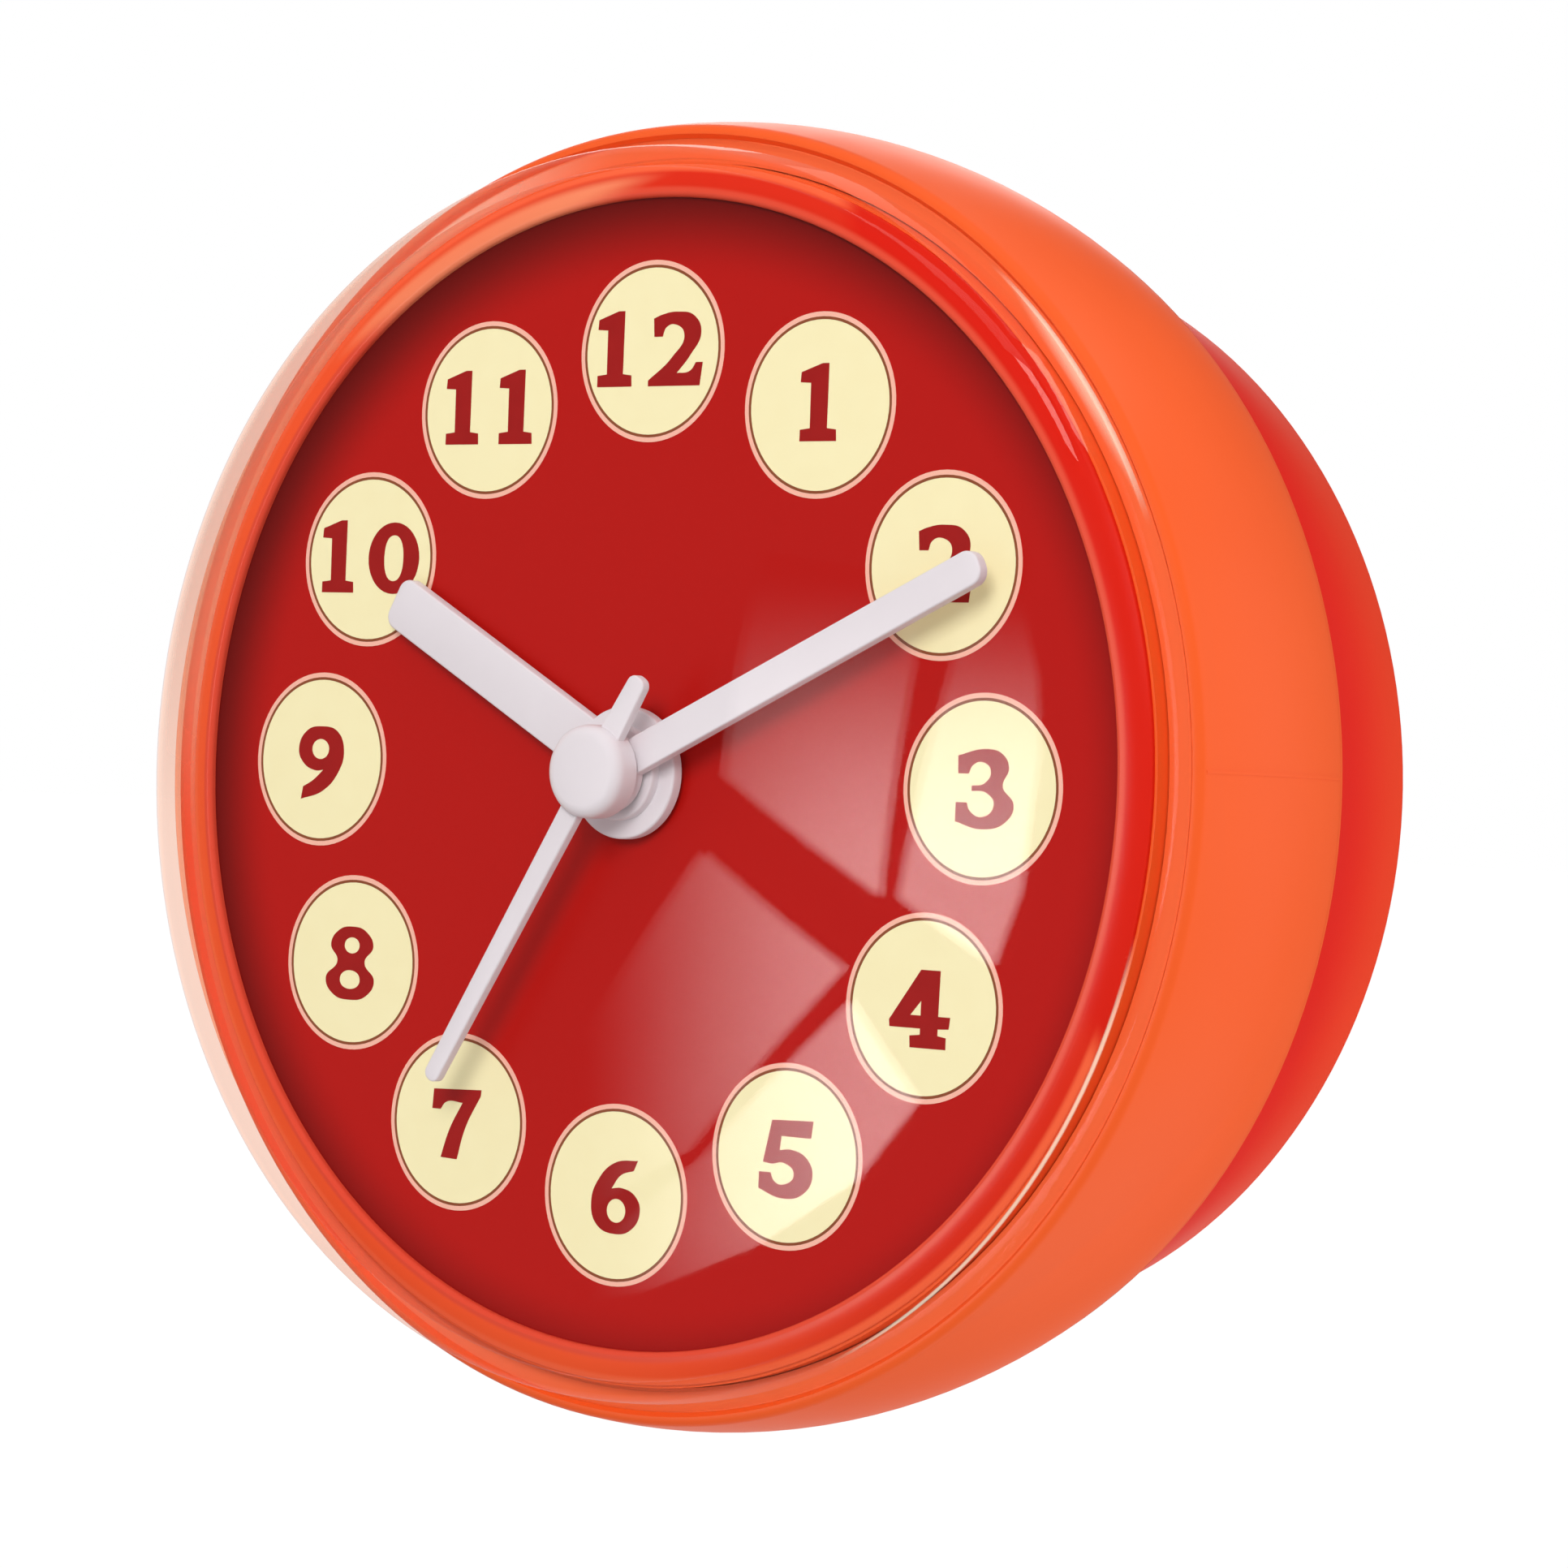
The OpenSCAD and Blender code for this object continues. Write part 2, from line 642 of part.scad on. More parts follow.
module movement_cover() {
    color(case_black) upright() difference() {
        union() {
            difference() {
                intersection() {
                    translate([0, 0, z_cover]) movement_plate(cover_d);
                    translate([-half_w, gear_floor + face_gap, z_cover])
                        cube([mov_w, half_h - gear_floor, cover_d]);
                }
                translate([-half_w + mov_wall, gear_floor + face_gap + mov_wall, z_bearing])
                    cube([mov_w - 2 * mov_wall, half_h - gear_floor - face_gap - 2 * mov_wall, cover_d]);
            }
            for (p = [[0, 0], third_p, step_p, rotor_p])
                post(p, z_bearing - mov_wall / 2, z_bearing + pivot_deep, bearing_r);
        }
        for (p = [[0, 0], third_p, step_p, rotor_p])
            post(p, z_bearing - pivot_deep / 2, z_bearing + pivot_deep + cut, arbor_r + run_gap);
        post(setting_p, z_cover - cut, z_bearing + cut, 2 * arbor_r + run_gap);
    }
}

module movement_screws() {
    z_head = z_wall - lug_drop - lug_t;
    color(steel) upright() for (x = [-1, 1]) {
        post([x * lug_x, lug_y], z_head - screw_head_h, z_head, 2.2 * screw_r);
        post([x * lug_x, lug_y], z_head, z_wall - screw_short, screw_r);
    }
}

// Battery and contacts

module battery() {
    nub_r = 2.75;
    nub_h = 1.2;
    color(brass) upright() translate([cell_x, cell_y, z_cell]) rotate([0, -90, 0]) {
        cylinder(h = nub_h, r = nub_r);
        translate([0, 0, nub_h]) cylinder(h = cell_len - nub_h, r = cell_r);
    }
}

module positive_contact() {
    color(steel) upright() translate([cell_x + face_gap, cell_y - cell_r / 2, z_cell - cell_r / 2])
        cube([contact_t, cell_r, cell_r]);
}

module negative_contact() {
    x_wall = -half_w + mov_wall;
    x_cell = cell_x - cell_len - face_gap;
    rise = cell_r / 2;
    color(steel) upright() translate([0, cell_y + rise, z_cell - rise]) rotate([90, 0, 0])
        linear_extrude(2 * rise) polygon([[x_wall, -rise], [x_wall + contact_t, -rise],
            [x_wall + contact_t, rise], [x_cell - contact_t, 2 * rise], [x_cell, 2 * rise],
            [x_cell, 2.2 * rise], [x_cell - 1.5 * contact_t, 2.2 * rise], [x_wall, rise + contact_t]]);
}

// Electronics and step motor

module circuit_board() {
    color([0.1, 0.36, 0.2]) upright() {
        translate([board_p[0], board_p[1], z_motor]) cube([board_w, board_h, plate_t]);
        post(board_p + [board_w * 0.7, board_h * 0.3], z_motor - chip_h, z_motor, chip_r);
    }
}

module quartz_crystal() {
    color(steel) upright() translate([board_p[0] + board_inset, board_p[1] + board_h * 0.75, z_motor - crystal_r])
        rotate([0, 90, 0]) cylinder(h = crystal_len, r = crystal_r);
}

module stator() {
    color(steel) upright() translate([rotor_p[0], rotor_p[1], z_motor]) difference() {
        linear_extrude(plate_t) union() {
            translate([-leg_w - leg_gap / 2, -leg_low]) square([2 * leg_w + leg_gap, 2 * leg_low]);
            circle(magnet_r + pole_w);
            for (x = [-1, 1]) translate([x * (leg_gap + leg_w) / 2 - leg_w / 2, -leg_low])
                square([leg_w, leg_top + leg_low]);
        }
        translate([0, 0, -cut]) cylinder(h = plate_t + 2 * cut, r = magnet_r + move_gap);
    }
}

module coil_core() {
    color(steel) upright()
        translate([rotor_p[0] - leg_gap / 2 - leg_w, rotor_p[1] + leg_top - core_w, z_motor - plate_t])
        cube([leg_gap + 2 * leg_w, core_w, plate_t]);
}

module drive_coil() {
    coil_r = 2.8;
    flange_r = 3.2;
    flange_t = 0.6;
    span = leg_gap - 2 * face_gap;
    color([0.72, 0.4, 0.2]) upright()
        translate([rotor_p[0] - span / 2, rotor_p[1] + leg_top - core_w / 2, z_motor - plate_t / 2])
        rotate([0, 90, 0]) difference() {
            union() {
                cylinder(h = span, r = coil_r);
                cylinder(h = flange_t, r = flange_r);
                translate([0, 0, span - flange_t]) cylinder(h = flange_t, r = flange_r);
            }
            translate([0, 0, span / 2])
                cube([plate_t + 2 * face_gap, core_w + 2 * face_gap, span + 2 * cut], center = true);
        }
}

module rotor_magnet() {
    color([0.25, 0.25, 0.27]) upright() difference() {
        post(rotor_p, z_magnet, z_magnet + magnet_h, magnet_r);
        post(rotor_p, z_magnet - cut, z_magnet + magnet_h + cut, arbor_r);
    }
}

module rotor_pinion() {
    color(wheel_white) upright() {
        arbor_wheel(rotor_p, rotor_n, train_m, z_step_wheel - (pinion_t - wheel_t) / 2, pinion_t, rotor_turn);
        post(rotor_p, z_bearing - pivot_deep / 4, z_rotor_end + pivot_deep / 2, arbor_r);
    }
}

// Wheel train

module step_wheel() {
    color(wheel_white) upright() {
        arbor_wheel(step_p, step_n, train_m, z_step_wheel, wheel_t, 0);
        arbor_wheel(step_p, step_pinion_n, train_m, z_second_wheel - (pinion_t - wheel_t) / 2,
            pinion_t, step_turn);
        post(step_p, z_bearing - pivot_deep / 4, z_inside + pivot_deep / 2, arbor_r);
    }
}

module second_wheel() {
    color(wheel_white) upright() {
        arbor_wheel([0, 0], second_n, train_m, z_second_wheel, wheel_t, 0);
        arbor_wheel([0, 0], second_pinion_n, train_m, z_third_wheel - (pinion_t - wheel_t) / 2, pinion_t, 0);
        post([0, 0], z_bearing - pivot_deep / 4, z_cap_top - cap_top - face_gap, arbor_r);
    }
}

module third_wheel() {
    color(wheel_white) upright() {
        arbor_wheel(third_p, third_n, train_m, z_third_wheel, wheel_t, third_turn);
        arbor_wheel(third_p, third_pinion_n, centre_m, z_centre_wheel - (pinion_t - wheel_t) / 2,
            pinion_t, 0);
        post(third_p, z_bearing - pivot_deep / 4, z_inside + pivot_deep / 2, arbor_r);
    }
}

module centre_wheel() {
    color(wheel_white) upright() difference() {
        union() {
            arbor_wheel([0, 0], centre_n, centre_m, z_centre_wheel, wheel_t, centre_turn);
            arbor_wheel([0, 0], cannon_n, motion_m, z_minute_wheel - (pinion_t - wheel_t) / 2, pinion_t, 0);
            post([0, 0], z_centre_wheel, z_minute_wheel, arbor_r + cannon_wall);
            post([0, 0], z_minute_wheel + wheel_t, z_hour_wheel, arbor_r + cannon_wall);
            post([0, 0], z_hour_wheel - move_gap, z_minute_top, minute_tube_r);
        }
        post([0, 0], z_centre_wheel - cut, z_minute_top + cut, arbor_r + run_gap);
    }
}

module minute_wheel() {
    color(wheel_white) upright() difference() {
        union() {
            arbor_wheel(minute_p, minute_n, motion_m, z_minute_wheel, wheel_t, minute_turn);
            arbor_wheel(minute_p, minute_pinion_n, hour_m, z_minute_wheel + wheel_t,
                z_inside - move_gap - z_minute_wheel - wheel_t, 0);
        }
        post(minute_p, z_minute_wheel - cut, z_inside, arbor_r + run_gap);
    }
}

module hour_wheel() {
    color(wheel_white) upright() difference() {
        union() {
            arbor_wheel([0, 0], hour_n, hour_m, z_hour_wheel, wheel_t, hour_turn);
            post([0, 0], z_hour_wheel, z_hour_top, hour_tube_r);
        }
        post([0, 0], z_hour_wheel - cut, z_hour_top + cut, minute_tube_r + run_gap);
    }
}

// Time setting

module setting_pinion() {
    z_pinion = z_minute_wheel - (pinion_t - wheel_t) / 2;
    color(wheel_white) upright() difference() {
        arbor_wheel(setting_p, setting_n, motion_m, z_pinion, pinion_t, setting_turn);
        post(setting_p, z_pinion - cut, z_pinion + pinion_t + cut, arbor_r);
    }
}

module set_knob() {
    ridges = 20;
    ridge_h = 0.3;
    color(case_black) upright() {
        translate([setting_p[0], setting_p[1], z_cover - move_gap - knob_h]) linear_extrude(knob_h)
            polygon([for (i = [0:2 * ridges - 1]) polar(knob_r - ridge_h * (i % 2), i * 180 / ridges)]);
        post(setting_p, z_cover - move_gap, z_bearing + move_gap, 2 * arbor_r);
        post(setting_p, z_bearing, z_inside + pivot_deep / 2, arbor_r);
    }
}

back_base();
suction_cup();
base_seal();
drum_shell();
dial_ring();
dial();
lens();
lens_seal();
movement_case();
movement_cover();
movement_screws();
battery();
negative_contact();
positive_contact();
circuit_board();
quartz_crystal();
stator();
coil_core();
drive_coil();
rotor_magnet();
rotor_pinion();
step_wheel();
second_wheel();
third_wheel();
centre_wheel();
minute_wheel();
hour_wheel();
hour_hand();
minute_hand();
second_hand();
setting_pinion();
set_knob();
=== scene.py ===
import math

import bmesh
import bpy
from mathutils import Matrix, Vector


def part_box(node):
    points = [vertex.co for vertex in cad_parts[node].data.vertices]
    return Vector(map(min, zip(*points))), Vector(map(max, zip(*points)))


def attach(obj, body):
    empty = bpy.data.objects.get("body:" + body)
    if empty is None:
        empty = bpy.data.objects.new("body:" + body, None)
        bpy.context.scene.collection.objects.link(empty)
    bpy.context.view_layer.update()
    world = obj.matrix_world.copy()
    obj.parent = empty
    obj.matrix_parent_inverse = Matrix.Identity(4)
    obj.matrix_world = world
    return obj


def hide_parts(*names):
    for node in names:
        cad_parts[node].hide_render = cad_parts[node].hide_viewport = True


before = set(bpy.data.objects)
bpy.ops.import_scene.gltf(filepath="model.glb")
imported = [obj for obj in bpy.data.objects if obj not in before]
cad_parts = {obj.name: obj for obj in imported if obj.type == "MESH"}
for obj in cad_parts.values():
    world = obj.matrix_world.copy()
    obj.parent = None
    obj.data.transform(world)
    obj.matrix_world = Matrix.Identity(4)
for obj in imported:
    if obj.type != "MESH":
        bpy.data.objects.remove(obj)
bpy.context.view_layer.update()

# Suction cup
# A soft tinted PVC cup, moulded in one piece, whose thin flat lip seals on the tiles.
# Its stud is pushed through the web of the base and held there by a mushroom head.
MM = 0.001
JOIN_DIST = MM / 1000
RIM_REACH = MM / 500
RIM_SAG = MM / 50
SPIN_STEPS = 180
SHARP_DEG = 32


def radius_of(node):
    """The outer radius of a round CAD node, in mm."""
    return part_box(node)[1].x / MM


def depth_of(node):
    """The distances from the wall to a CAD node's rear and front, in mm."""
    low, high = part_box(node)
    return -high.y / MM, -low.y / MM


def arc(centre, radius, start_deg, end_deg, steps):
    """Profile points (radius, distance from the wall) along an arc."""
    turns = [math.radians(start_deg + (end_deg - start_deg) * i / steps) for i in range(steps + 1)]
    return [(centre[0] + radius * math.cos(a), centre[1] + radius * math.sin(a)) for a in turns]


def on_rim(vert, hub, radius, depth):
    """Whether a vertex lies on a rim round a hub, given by its radius and distance from the wall in mm."""
    beyond = math.hypot(vert.co.x - hub.x, vert.co.z - hub.z) - radius * MM
    return -RIM_SAG < beyond < RIM_REACH and abs(vert.co.y + depth * MM) < RIM_REACH


def round_off(bm, geom, size, segments, affect="EDGES"):
    """Rounds edges or corners by a size in mm."""
    bmesh.ops.bevel(bm, geom=geom, offset=size * MM, offset_type="OFFSET", segments=segments, profile=0.5,
                    affect=affect, material=-1)


def lathe(bm, profile, closed=True, centre=(0, 0), steps=SPIN_STEPS):
    """Spins a profile of (radius, distance from the wall[, edge round]), in mm, about an axis along Y."""
    hub = Vector((centre[0] * MM, 0, centre[1] * MM))
    line = [bm.verts.new(hub + Vector((p[0] * MM, -p[1] * MM, 0))) for p in profile]
    edges = [bm.edges.new(pair) for pair in zip(line, line[1:] + line[:1] if closed else line[1:])]
    bmesh.ops.spin(bm, geom=line + edges, cent=hub, axis=(0, 1, 0), angle=math.tau, steps=steps,
                   use_merge=True)
    bmesh.ops.remove_doubles(bm, verts=bm.verts, dist=JOIN_DIST)
    bmesh.ops.recalc_face_normals(bm, faces=bm.faces)
    for radius, depth, edge_round in (p for p in profile if len(p) == 3):
        rim = [e for e in bm.edges if all(on_rim(v, hub, radius, depth) for v in e.verts)]
        round_off(bm, rim, edge_round, segments=4)
    return bm


def object_from(name, bm, material):
    """A finished mesh as an object of the scene."""
    mesh = bpy.data.meshes.new(name)
    bm.to_mesh(mesh)
    bm.free()
    mesh.materials.append(material)
    made = bpy.data.objects.new(name, mesh)
    bpy.context.scene.collection.objects.link(made)
    return made


def piece(name, bm, body, slot, material, *nodes):
    """Makes a finished mesh an object that rides on a CAD body and stands for CAD nodes."""
    made = object_from(name, bm, material)
    made.data.shade_smooth()
    made.data.set_sharp_from_angle(angle=math.radians(SHARP_DEG))
    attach(made, body)
    if nodes:
        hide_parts(*nodes)
    return made


class Wire:
    """A socket of a node tree, so that a pattern is written as arithmetic."""

    def __init__(self, socket):
        self.socket = socket

    def node(self, kind, settings, sockets, output=0):
        """A new node in the same tree: its settings first, then its sockets' values or links."""
        tree = self.socket.id_data
        made = tree.nodes.new(kind)
        for key, value in settings.items():
            setattr(made, key, value)
        for key, value in sockets.items():
            if isinstance(value, Wire):
                tree.links.new(value.socket, made.inputs[key])
            else:
                made.inputs[key].default_value = value
        return Wire(made.outputs[output])

    def maths(self, operation, first, second):
        return self.node("ShaderNodeMath", {"operation": operation}, {0: first, 1: second})

    def __add__(self, other):
        return self.maths("ADD", self, other)

    def __sub__(self, other):
        return self.maths("SUBTRACT", self, other)

    def __rsub__(self, other):
        return self.maths("SUBTRACT", other, self)

    def __mul__(self, other):
        return self.maths("MULTIPLY", self, other)

    def __pow__(self, other):
        return self.maths("POWER", self, other)

    __radd__ = __add__
    __rmul__ = __mul__


def colour(red, green, blue):
    """A linear colour from the 0 to 255 values of a colour chart."""
    levels = [level / 255 for level in (red, green, blue)]
    return *(c / 12.92 if c < 0.04045 else ((c + 0.055) / 1.055) ** 2.4 for c in levels), 1


def noise(place, size, detail=2):
    """Blotches of about that size in mm, from 0 to 1."""
    return place.node("ShaderNodeTexNoise", {},
                      {"Vector": place, "Scale": 1 / (size * MM), "Detail": detail})


def mix(share, first, second):
    """A colour between two others."""
    return share.node("ShaderNodeMix", {"data_type": "RGBA"}, {0: share, 6: first, 7: second}, output=2)


def fade(value, low, high):
    """A soft step from 0 at low to 1 at high."""
    return value.node("ShaderNodeMapRange", {"interpolation_type": "SMOOTHSTEP"},
                      {"Value": value, "From Min": low, "From Max": high})


def relief(height, depth):
    """A bump that reads heights from 0 to 1 as that depth in mm."""
    return height.node("ShaderNodeBump", {}, {"Strength": 1, "Distance": depth * MM, "Height": height})


def material_of(name, recipe, *values):
    """A material whose shader sockets come from a recipe that reads Object coordinates."""
    made = bpy.data.materials.new(name)
    made.use_nodes = True
    tree = made.node_tree
    shader = tree.nodes["Principled BSDF"]
    place = Wire(tree.nodes.new("ShaderNodeTexCoord").outputs["Object"])
    for socket, value in recipe(place, *values).items():
        if isinstance(value, Wire):
            tree.links.new(value.socket, shader.inputs[socket])
        else:
            shader.inputs[socket].default_value = value
    return made


def soft_moulding(place, pale, deep, rough):
    """Soft rubber or PVC: slow colour drift, a dusty bloom and a fine skin."""
    bloom = noise(place, size=9, detail=4)
    skin = noise(place, size=0.35)
    return {"Base Color": mix(bloom, deep, pale), "Roughness": rough + 0.2 * bloom,
            "Normal": relief(skin, depth=0.01), "Specular IOR Level": 0.4}


cup_r = radius_of("suction_cup")
head_front = depth_of("suction_cup")[1]
web_rear = 14.7
shoulder = 17.3
lip_t = 0.7
lip_flat = 1.4
boss_r = 9
stud_r = 4
head_r = 5.2
head_slope = 0.8
hollow = 7
back_h = 8.9
back_steps = 16
hollow_r = cup_r - lip_flat
hollow_arc = (hollow_r ** 2 + hollow ** 2) / (2 * hollow)
hollow_deg = math.degrees(math.asin(hollow_r / hollow_arc))
cup_back = [(boss_r + (cup_r - boss_r) * i / back_steps,
             lip_t + back_h * math.cos(math.pi / 2 * i / back_steps)) for i in range(back_steps)]
cup = lathe(bmesh.new(), [
    (0, head_front), (head_r - head_slope, head_front, 0.3), (head_r, shoulder), (stud_r, shoulder),
    (stud_r, web_rear), (boss_r, web_rear, 0.4), *cup_back, (cup_r, lip_t, 0.25), (cup_r, 0),
    *arc((0, hollow - hollow_arc), hollow_arc, 90 - hollow_deg, 90, steps=24)], closed=False)
cup_pvc = material_of("cup_pvc", soft_moulding, colour(232, 96, 56), colour(206, 58, 30), 0.28)
piece("cup_moulding", cup, "base", "cup_rubber", cup_pvc, "suction_cup")

# Base
# A tapered red ABS moulding that stands off the wall round the cup and shuts the drum from behind.
# A spigot with three lugs enters the drum's rear rim and locks there with a part turn.
# Its colour is painted darker next to the drum, as the drum's shade, and paler towards its thin foot.


def moulded_skin(place, rough, grain):
    """The skin of injection-moulded ABS: spark-eroded, with a faint sheen from handling."""
    skin = noise(place, size=0.22, detail=1)
    sheen = noise(place, size=6, detail=4)
    return {"Roughness": rough + 0.1 * sheen, "Normal": relief(skin, grain), "Specular IOR Level": 0.2}


def hard_moulding(place, pale, deep, rough, grain):
    """Injection-moulded ABS with slow flow tones."""
    flow = noise(place, size=22)
    return {"Base Color": mix(flow, deep, pale), **moulded_skin(place, rough, grain)}


def by_depth(place, limits):
    """A soft step between two distances from the wall, in mm."""
    rearwards = place.node("ShaderNodeSeparateXYZ", {}, {0: place}, output="Y")
    return fade(rearwards, *(-limit * MM for limit in limits))


def graded_moulding(place, pale, deep, painted_light_at_foot):
    """The base's ABS, coloured darker next to the drum as painted shade and paler towards the thin foot."""
    sockets = hard_moulding(place, pale, deep, rough=0.3, grain=0.003)
    sockets["Base Color"] = mix(by_depth(place, PAINTED_SHADE_FADE), sockets["Base Color"], painted_light_at_foot)
    return sockets


def sector(bm, outline, middle_deg, width_deg, steps=8):
    """A solid bent round the axis from an outline of (radius, distance from the wall).

    Its middle is given in degrees, counted from 3 o'clock towards 12 o'clock.
    """
    swing = Matrix.Rotation(math.radians(width_deg / 2 - middle_deg), 3, "Y")
    face = bm.faces.new([bm.verts.new(swing @ Vector((r * MM, -z * MM, 0))) for r, z in outline])
    bmesh.ops.spin(bm, geom=[face], axis=(0, 1, 0), angle=-math.radians(width_deg), steps=steps)
    bmesh.ops.recalc_face_normals(bm, faces=bm.faces)


def block(inner, outer, rear, front):
    """The outline of a plain block."""
    return (inner, rear), (outer, rear), (outer, front), (inner, front)


base_r = radius_of("back_base")
foot_z, spigot_front = depth_of("back_base")
foot_r = 41.09
base_wall = 2.3
stud_hole_r = 4.1
spigot_r = 42.89
spigot_in_r = 41.39
lug_r = 43.66
lug_rear, lug_front = 22.3, 24.0
lug_count = 3
lug_step = 360 / lug_count
lug_deg = 20
TWELVE_DEG = 90
PAINTED_SHADE_FADE = 16, 0
base = lathe(bmesh.new(), [
    (stud_hole_r, web_rear), (base_r - base_wall, web_rear), (foot_r - base_wall, foot_z, 0.4),
    (foot_r, foot_z, 0.9), (base_r, shoulder, 0.9), (spigot_r, shoulder), (spigot_r, spigot_front, 0.3),
    (spigot_in_r, spigot_front, 0.3), (spigot_in_r, shoulder), (stud_hole_r, shoulder)])
for i in range(lug_count):
    lug = block((spigot_r + spigot_in_r) / 2, lug_r, lug_rear, lug_front)
    sector(base, lug, TWELVE_DEG + i * lug_step, lug_deg)
# The third colour is the paler foot; the first two stand next to the drum as painted shade.
base_abs = material_of("base_abs", graded_moulding, colour(228, 27, 8), colour(221, 21, 6),
                       colour(240, 64, 24))
piece("base_moulding", base, "base", "base_plastic", base_abs, "back_base")

# Gaskets
# Two flat orange silicone rings, one pressed between base and drum and one under the lens.
# Both are cut from sheet in the drum's colour, set a little paler as painted light in the shaded gap, so
# they only show as a line in the gap.


def finish_nodes(material, *nodes):
    """Gives a material to CAD nodes that keep their own meshes."""
    for node in nodes:
        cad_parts[node].data.materials.clear()
        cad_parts[node].data.materials.append(material)


# Painted light: the seal is coloured a little paler than the drum, so the shaded gap reads lit.
seal_silicone = material_of("seal_silicone", soft_moulding, colour(247, 106, 52), colour(241, 98, 46), 0.6)
finish_nodes(seal_silicone, "base_seal", "lens_seal")

# Drum
# The barrel-shaped orange ABS case, moulded with the wall that carries the dial and a rebate for the lens.
# Its rear rim has three notches and stops for the base's lugs.
# A fine witness line from the mould runs along it near 3 o'clock.
rear_z, dial_seat = depth_of("drum_shell")
barrel_radius = 36
crest_z = 29.15
barrel_x = radius_of("drum_shell") - barrel_radius
barrel_at = barrel_x, crest_z
inner_radius = 33.6
rim_bore = 43.19
rim_front = 22.0
front_z = 38.1
rebate_r = radius_of("lens_seal")
seal_front = depth_of("lens_seal")[1]
ledge_z = 36.9
chamfer = 0.3
platform_r = 43.5
wall_t = 2
hole_r = 3.9
notch_r = 43.96
notch_deg = 22
twist_deg = 30
stop_deg = 4
stop_play_deg = 1
stop_in, stop_out, stop_half = 0.3, 1.2, 0.9
rear_deg = math.degrees(math.asin((rear_z - crest_z) / barrel_radius))
front_deg = math.degrees(math.asin((front_z - crest_z) / barrel_radius))
inner_front_deg = math.degrees(math.asin((ledge_z - wall_t - crest_z) / inner_radius))
inner_rear_deg = math.degrees(math.asin((rim_front - crest_z) / inner_radius))
side = arc(barrel_at, barrel_radius, rear_deg, front_deg, steps=28)
drum = lathe(bmesh.new(), [
    (rim_bore, rear_z), (*side[0], 1.2), *side[1:-1], (*side[-1], 0.5), (rebate_r + chamfer, front_z),
    (rebate_r, seal_front), (rebate_r, ledge_z), (platform_r, ledge_z), (platform_r, dial_seat),
    (hole_r, dial_seat), (hole_r, dial_seat - wall_t), (platform_r - wall_t, dial_seat - wall_t),
    (platform_r - wall_t, ledge_z - wall_t),
    *arc(barrel_at, inner_radius, inner_front_deg, inner_rear_deg, steps=16), (rim_bore, rim_front)])
for vert in drum.verts:
    turn = math.degrees(math.atan2(vert.co.z, vert.co.x)) - TWELVE_DEG + twist_deg
    away = abs((turn + lug_step / 2) % lug_step - lug_step / 2)
    if away < notch_deg / 2 and abs(math.hypot(vert.co.x, vert.co.z) - rim_bore * MM) < MM / 10:
        vert.co.x *= notch_r / rim_bore
        vert.co.z *= notch_r / rim_bore
for i in range(lug_count):
    stop = block(rim_bore + stop_in, rim_bore + stop_out, rim_front - stop_half, rim_front + stop_half)
    sector(drum, stop, TWELVE_DEG + i * lug_step + (lug_deg + stop_deg + stop_play_deg) / 2, stop_deg)
witness_deg = 2.2
witness_wide_deg = 0.3
witness_proud, witness_sunk = 0.03, 0.5
witness_rear, witness_front = rear_deg + 2, front_deg - 1
witness = [*arc(barrel_at, barrel_radius + witness_proud, witness_rear, witness_front, steps=20),
           *arc(barrel_at, barrel_radius - witness_sunk, witness_front, witness_rear, steps=20)]
sector(drum, witness, witness_deg, witness_wide_deg, steps=1)
drum_abs = material_of("drum_abs", hard_moulding, colour(244, 95, 37), colour(240, 89, 33), 0.34, 0.003)
piece("drum_moulding", drum, "case", "drum_plastic", drum_abs, "drum_shell")

# Dial
# A thin dark red sheet with a satin print, laid on the drum's wall and held by the ring.
# Its colour is painted darker towards its edge, most of all at the upper left, as the shadow of the rim.


def from_axis(place):
    """The distance from the clock's axis."""
    flat = place.node("ShaderNodeVectorMath", {"operation": "MULTIPLY"}, {0: place, 1: (1, 0, 1)})
    return place.node("ShaderNodeVectorMath", {"operation": "LENGTH"}, {0: flat}, output=1)


def along(place, direction):
    """How far a place lies along a direction."""
    return place.node("ShaderNodeVectorMath", {"operation": "DOT_PRODUCT"},
                      {0: place, 1: direction}, output=1)


def red_print(place, middle, edge):
    """A satin print with a fine grain and a painted shadow towards the rim, most of all at the upper left.
    """
    spread = from_axis(place) + SHADE_LEAN * along(place, (-1, 0, 1))
    painted_shadow = fade(spread, *(limit * MM for limit in SHADE_FADE))
    grain = noise(place, size=0.3, detail=1)
    return {"Base Color": mix(painted_shadow, middle, edge), "Roughness": 0.5 + 0.1 * grain,
            "Normal": relief(grain, depth=0.002), "Specular IOR Level": 0.1}


SHADE_FADE = 36.3, 43.1
SHADE_LEAN = 0.035
dial_face = depth_of("dial")[1]
dial_edge = radius_of("dial")
dial = lathe(bmesh.new(), [(hole_r, dial_seat), (dial_edge, dial_seat), (dial_edge, dial_face),
                           (hole_r, dial_face)])
# The second colour is the painted shadow at the rim.
dial_ink = material_of("dial_ink", red_print, colour(183, 15, 9), colour(104, 6, 3))
piece("dial_sheet", dial, "case", "dial_sheet", dial_ink, "dial")

# Numeral discs
# Twelve cream discs printed on the dial, each with a thin brown line just inside a peach edge.
# Each layer of ink lies a few hundredths of a millimetre above the one below.


def flat_ink(place, pale, deep):
    """A flat coat of printing ink with a slight mottle."""
    mottle = noise(place, size=1.6, detail=4)
    return {"Base Color": mix(mottle, deep, pale), "Roughness": 0.45 + 0.1 * mottle,
            "Specular IOR Level": 0.1}


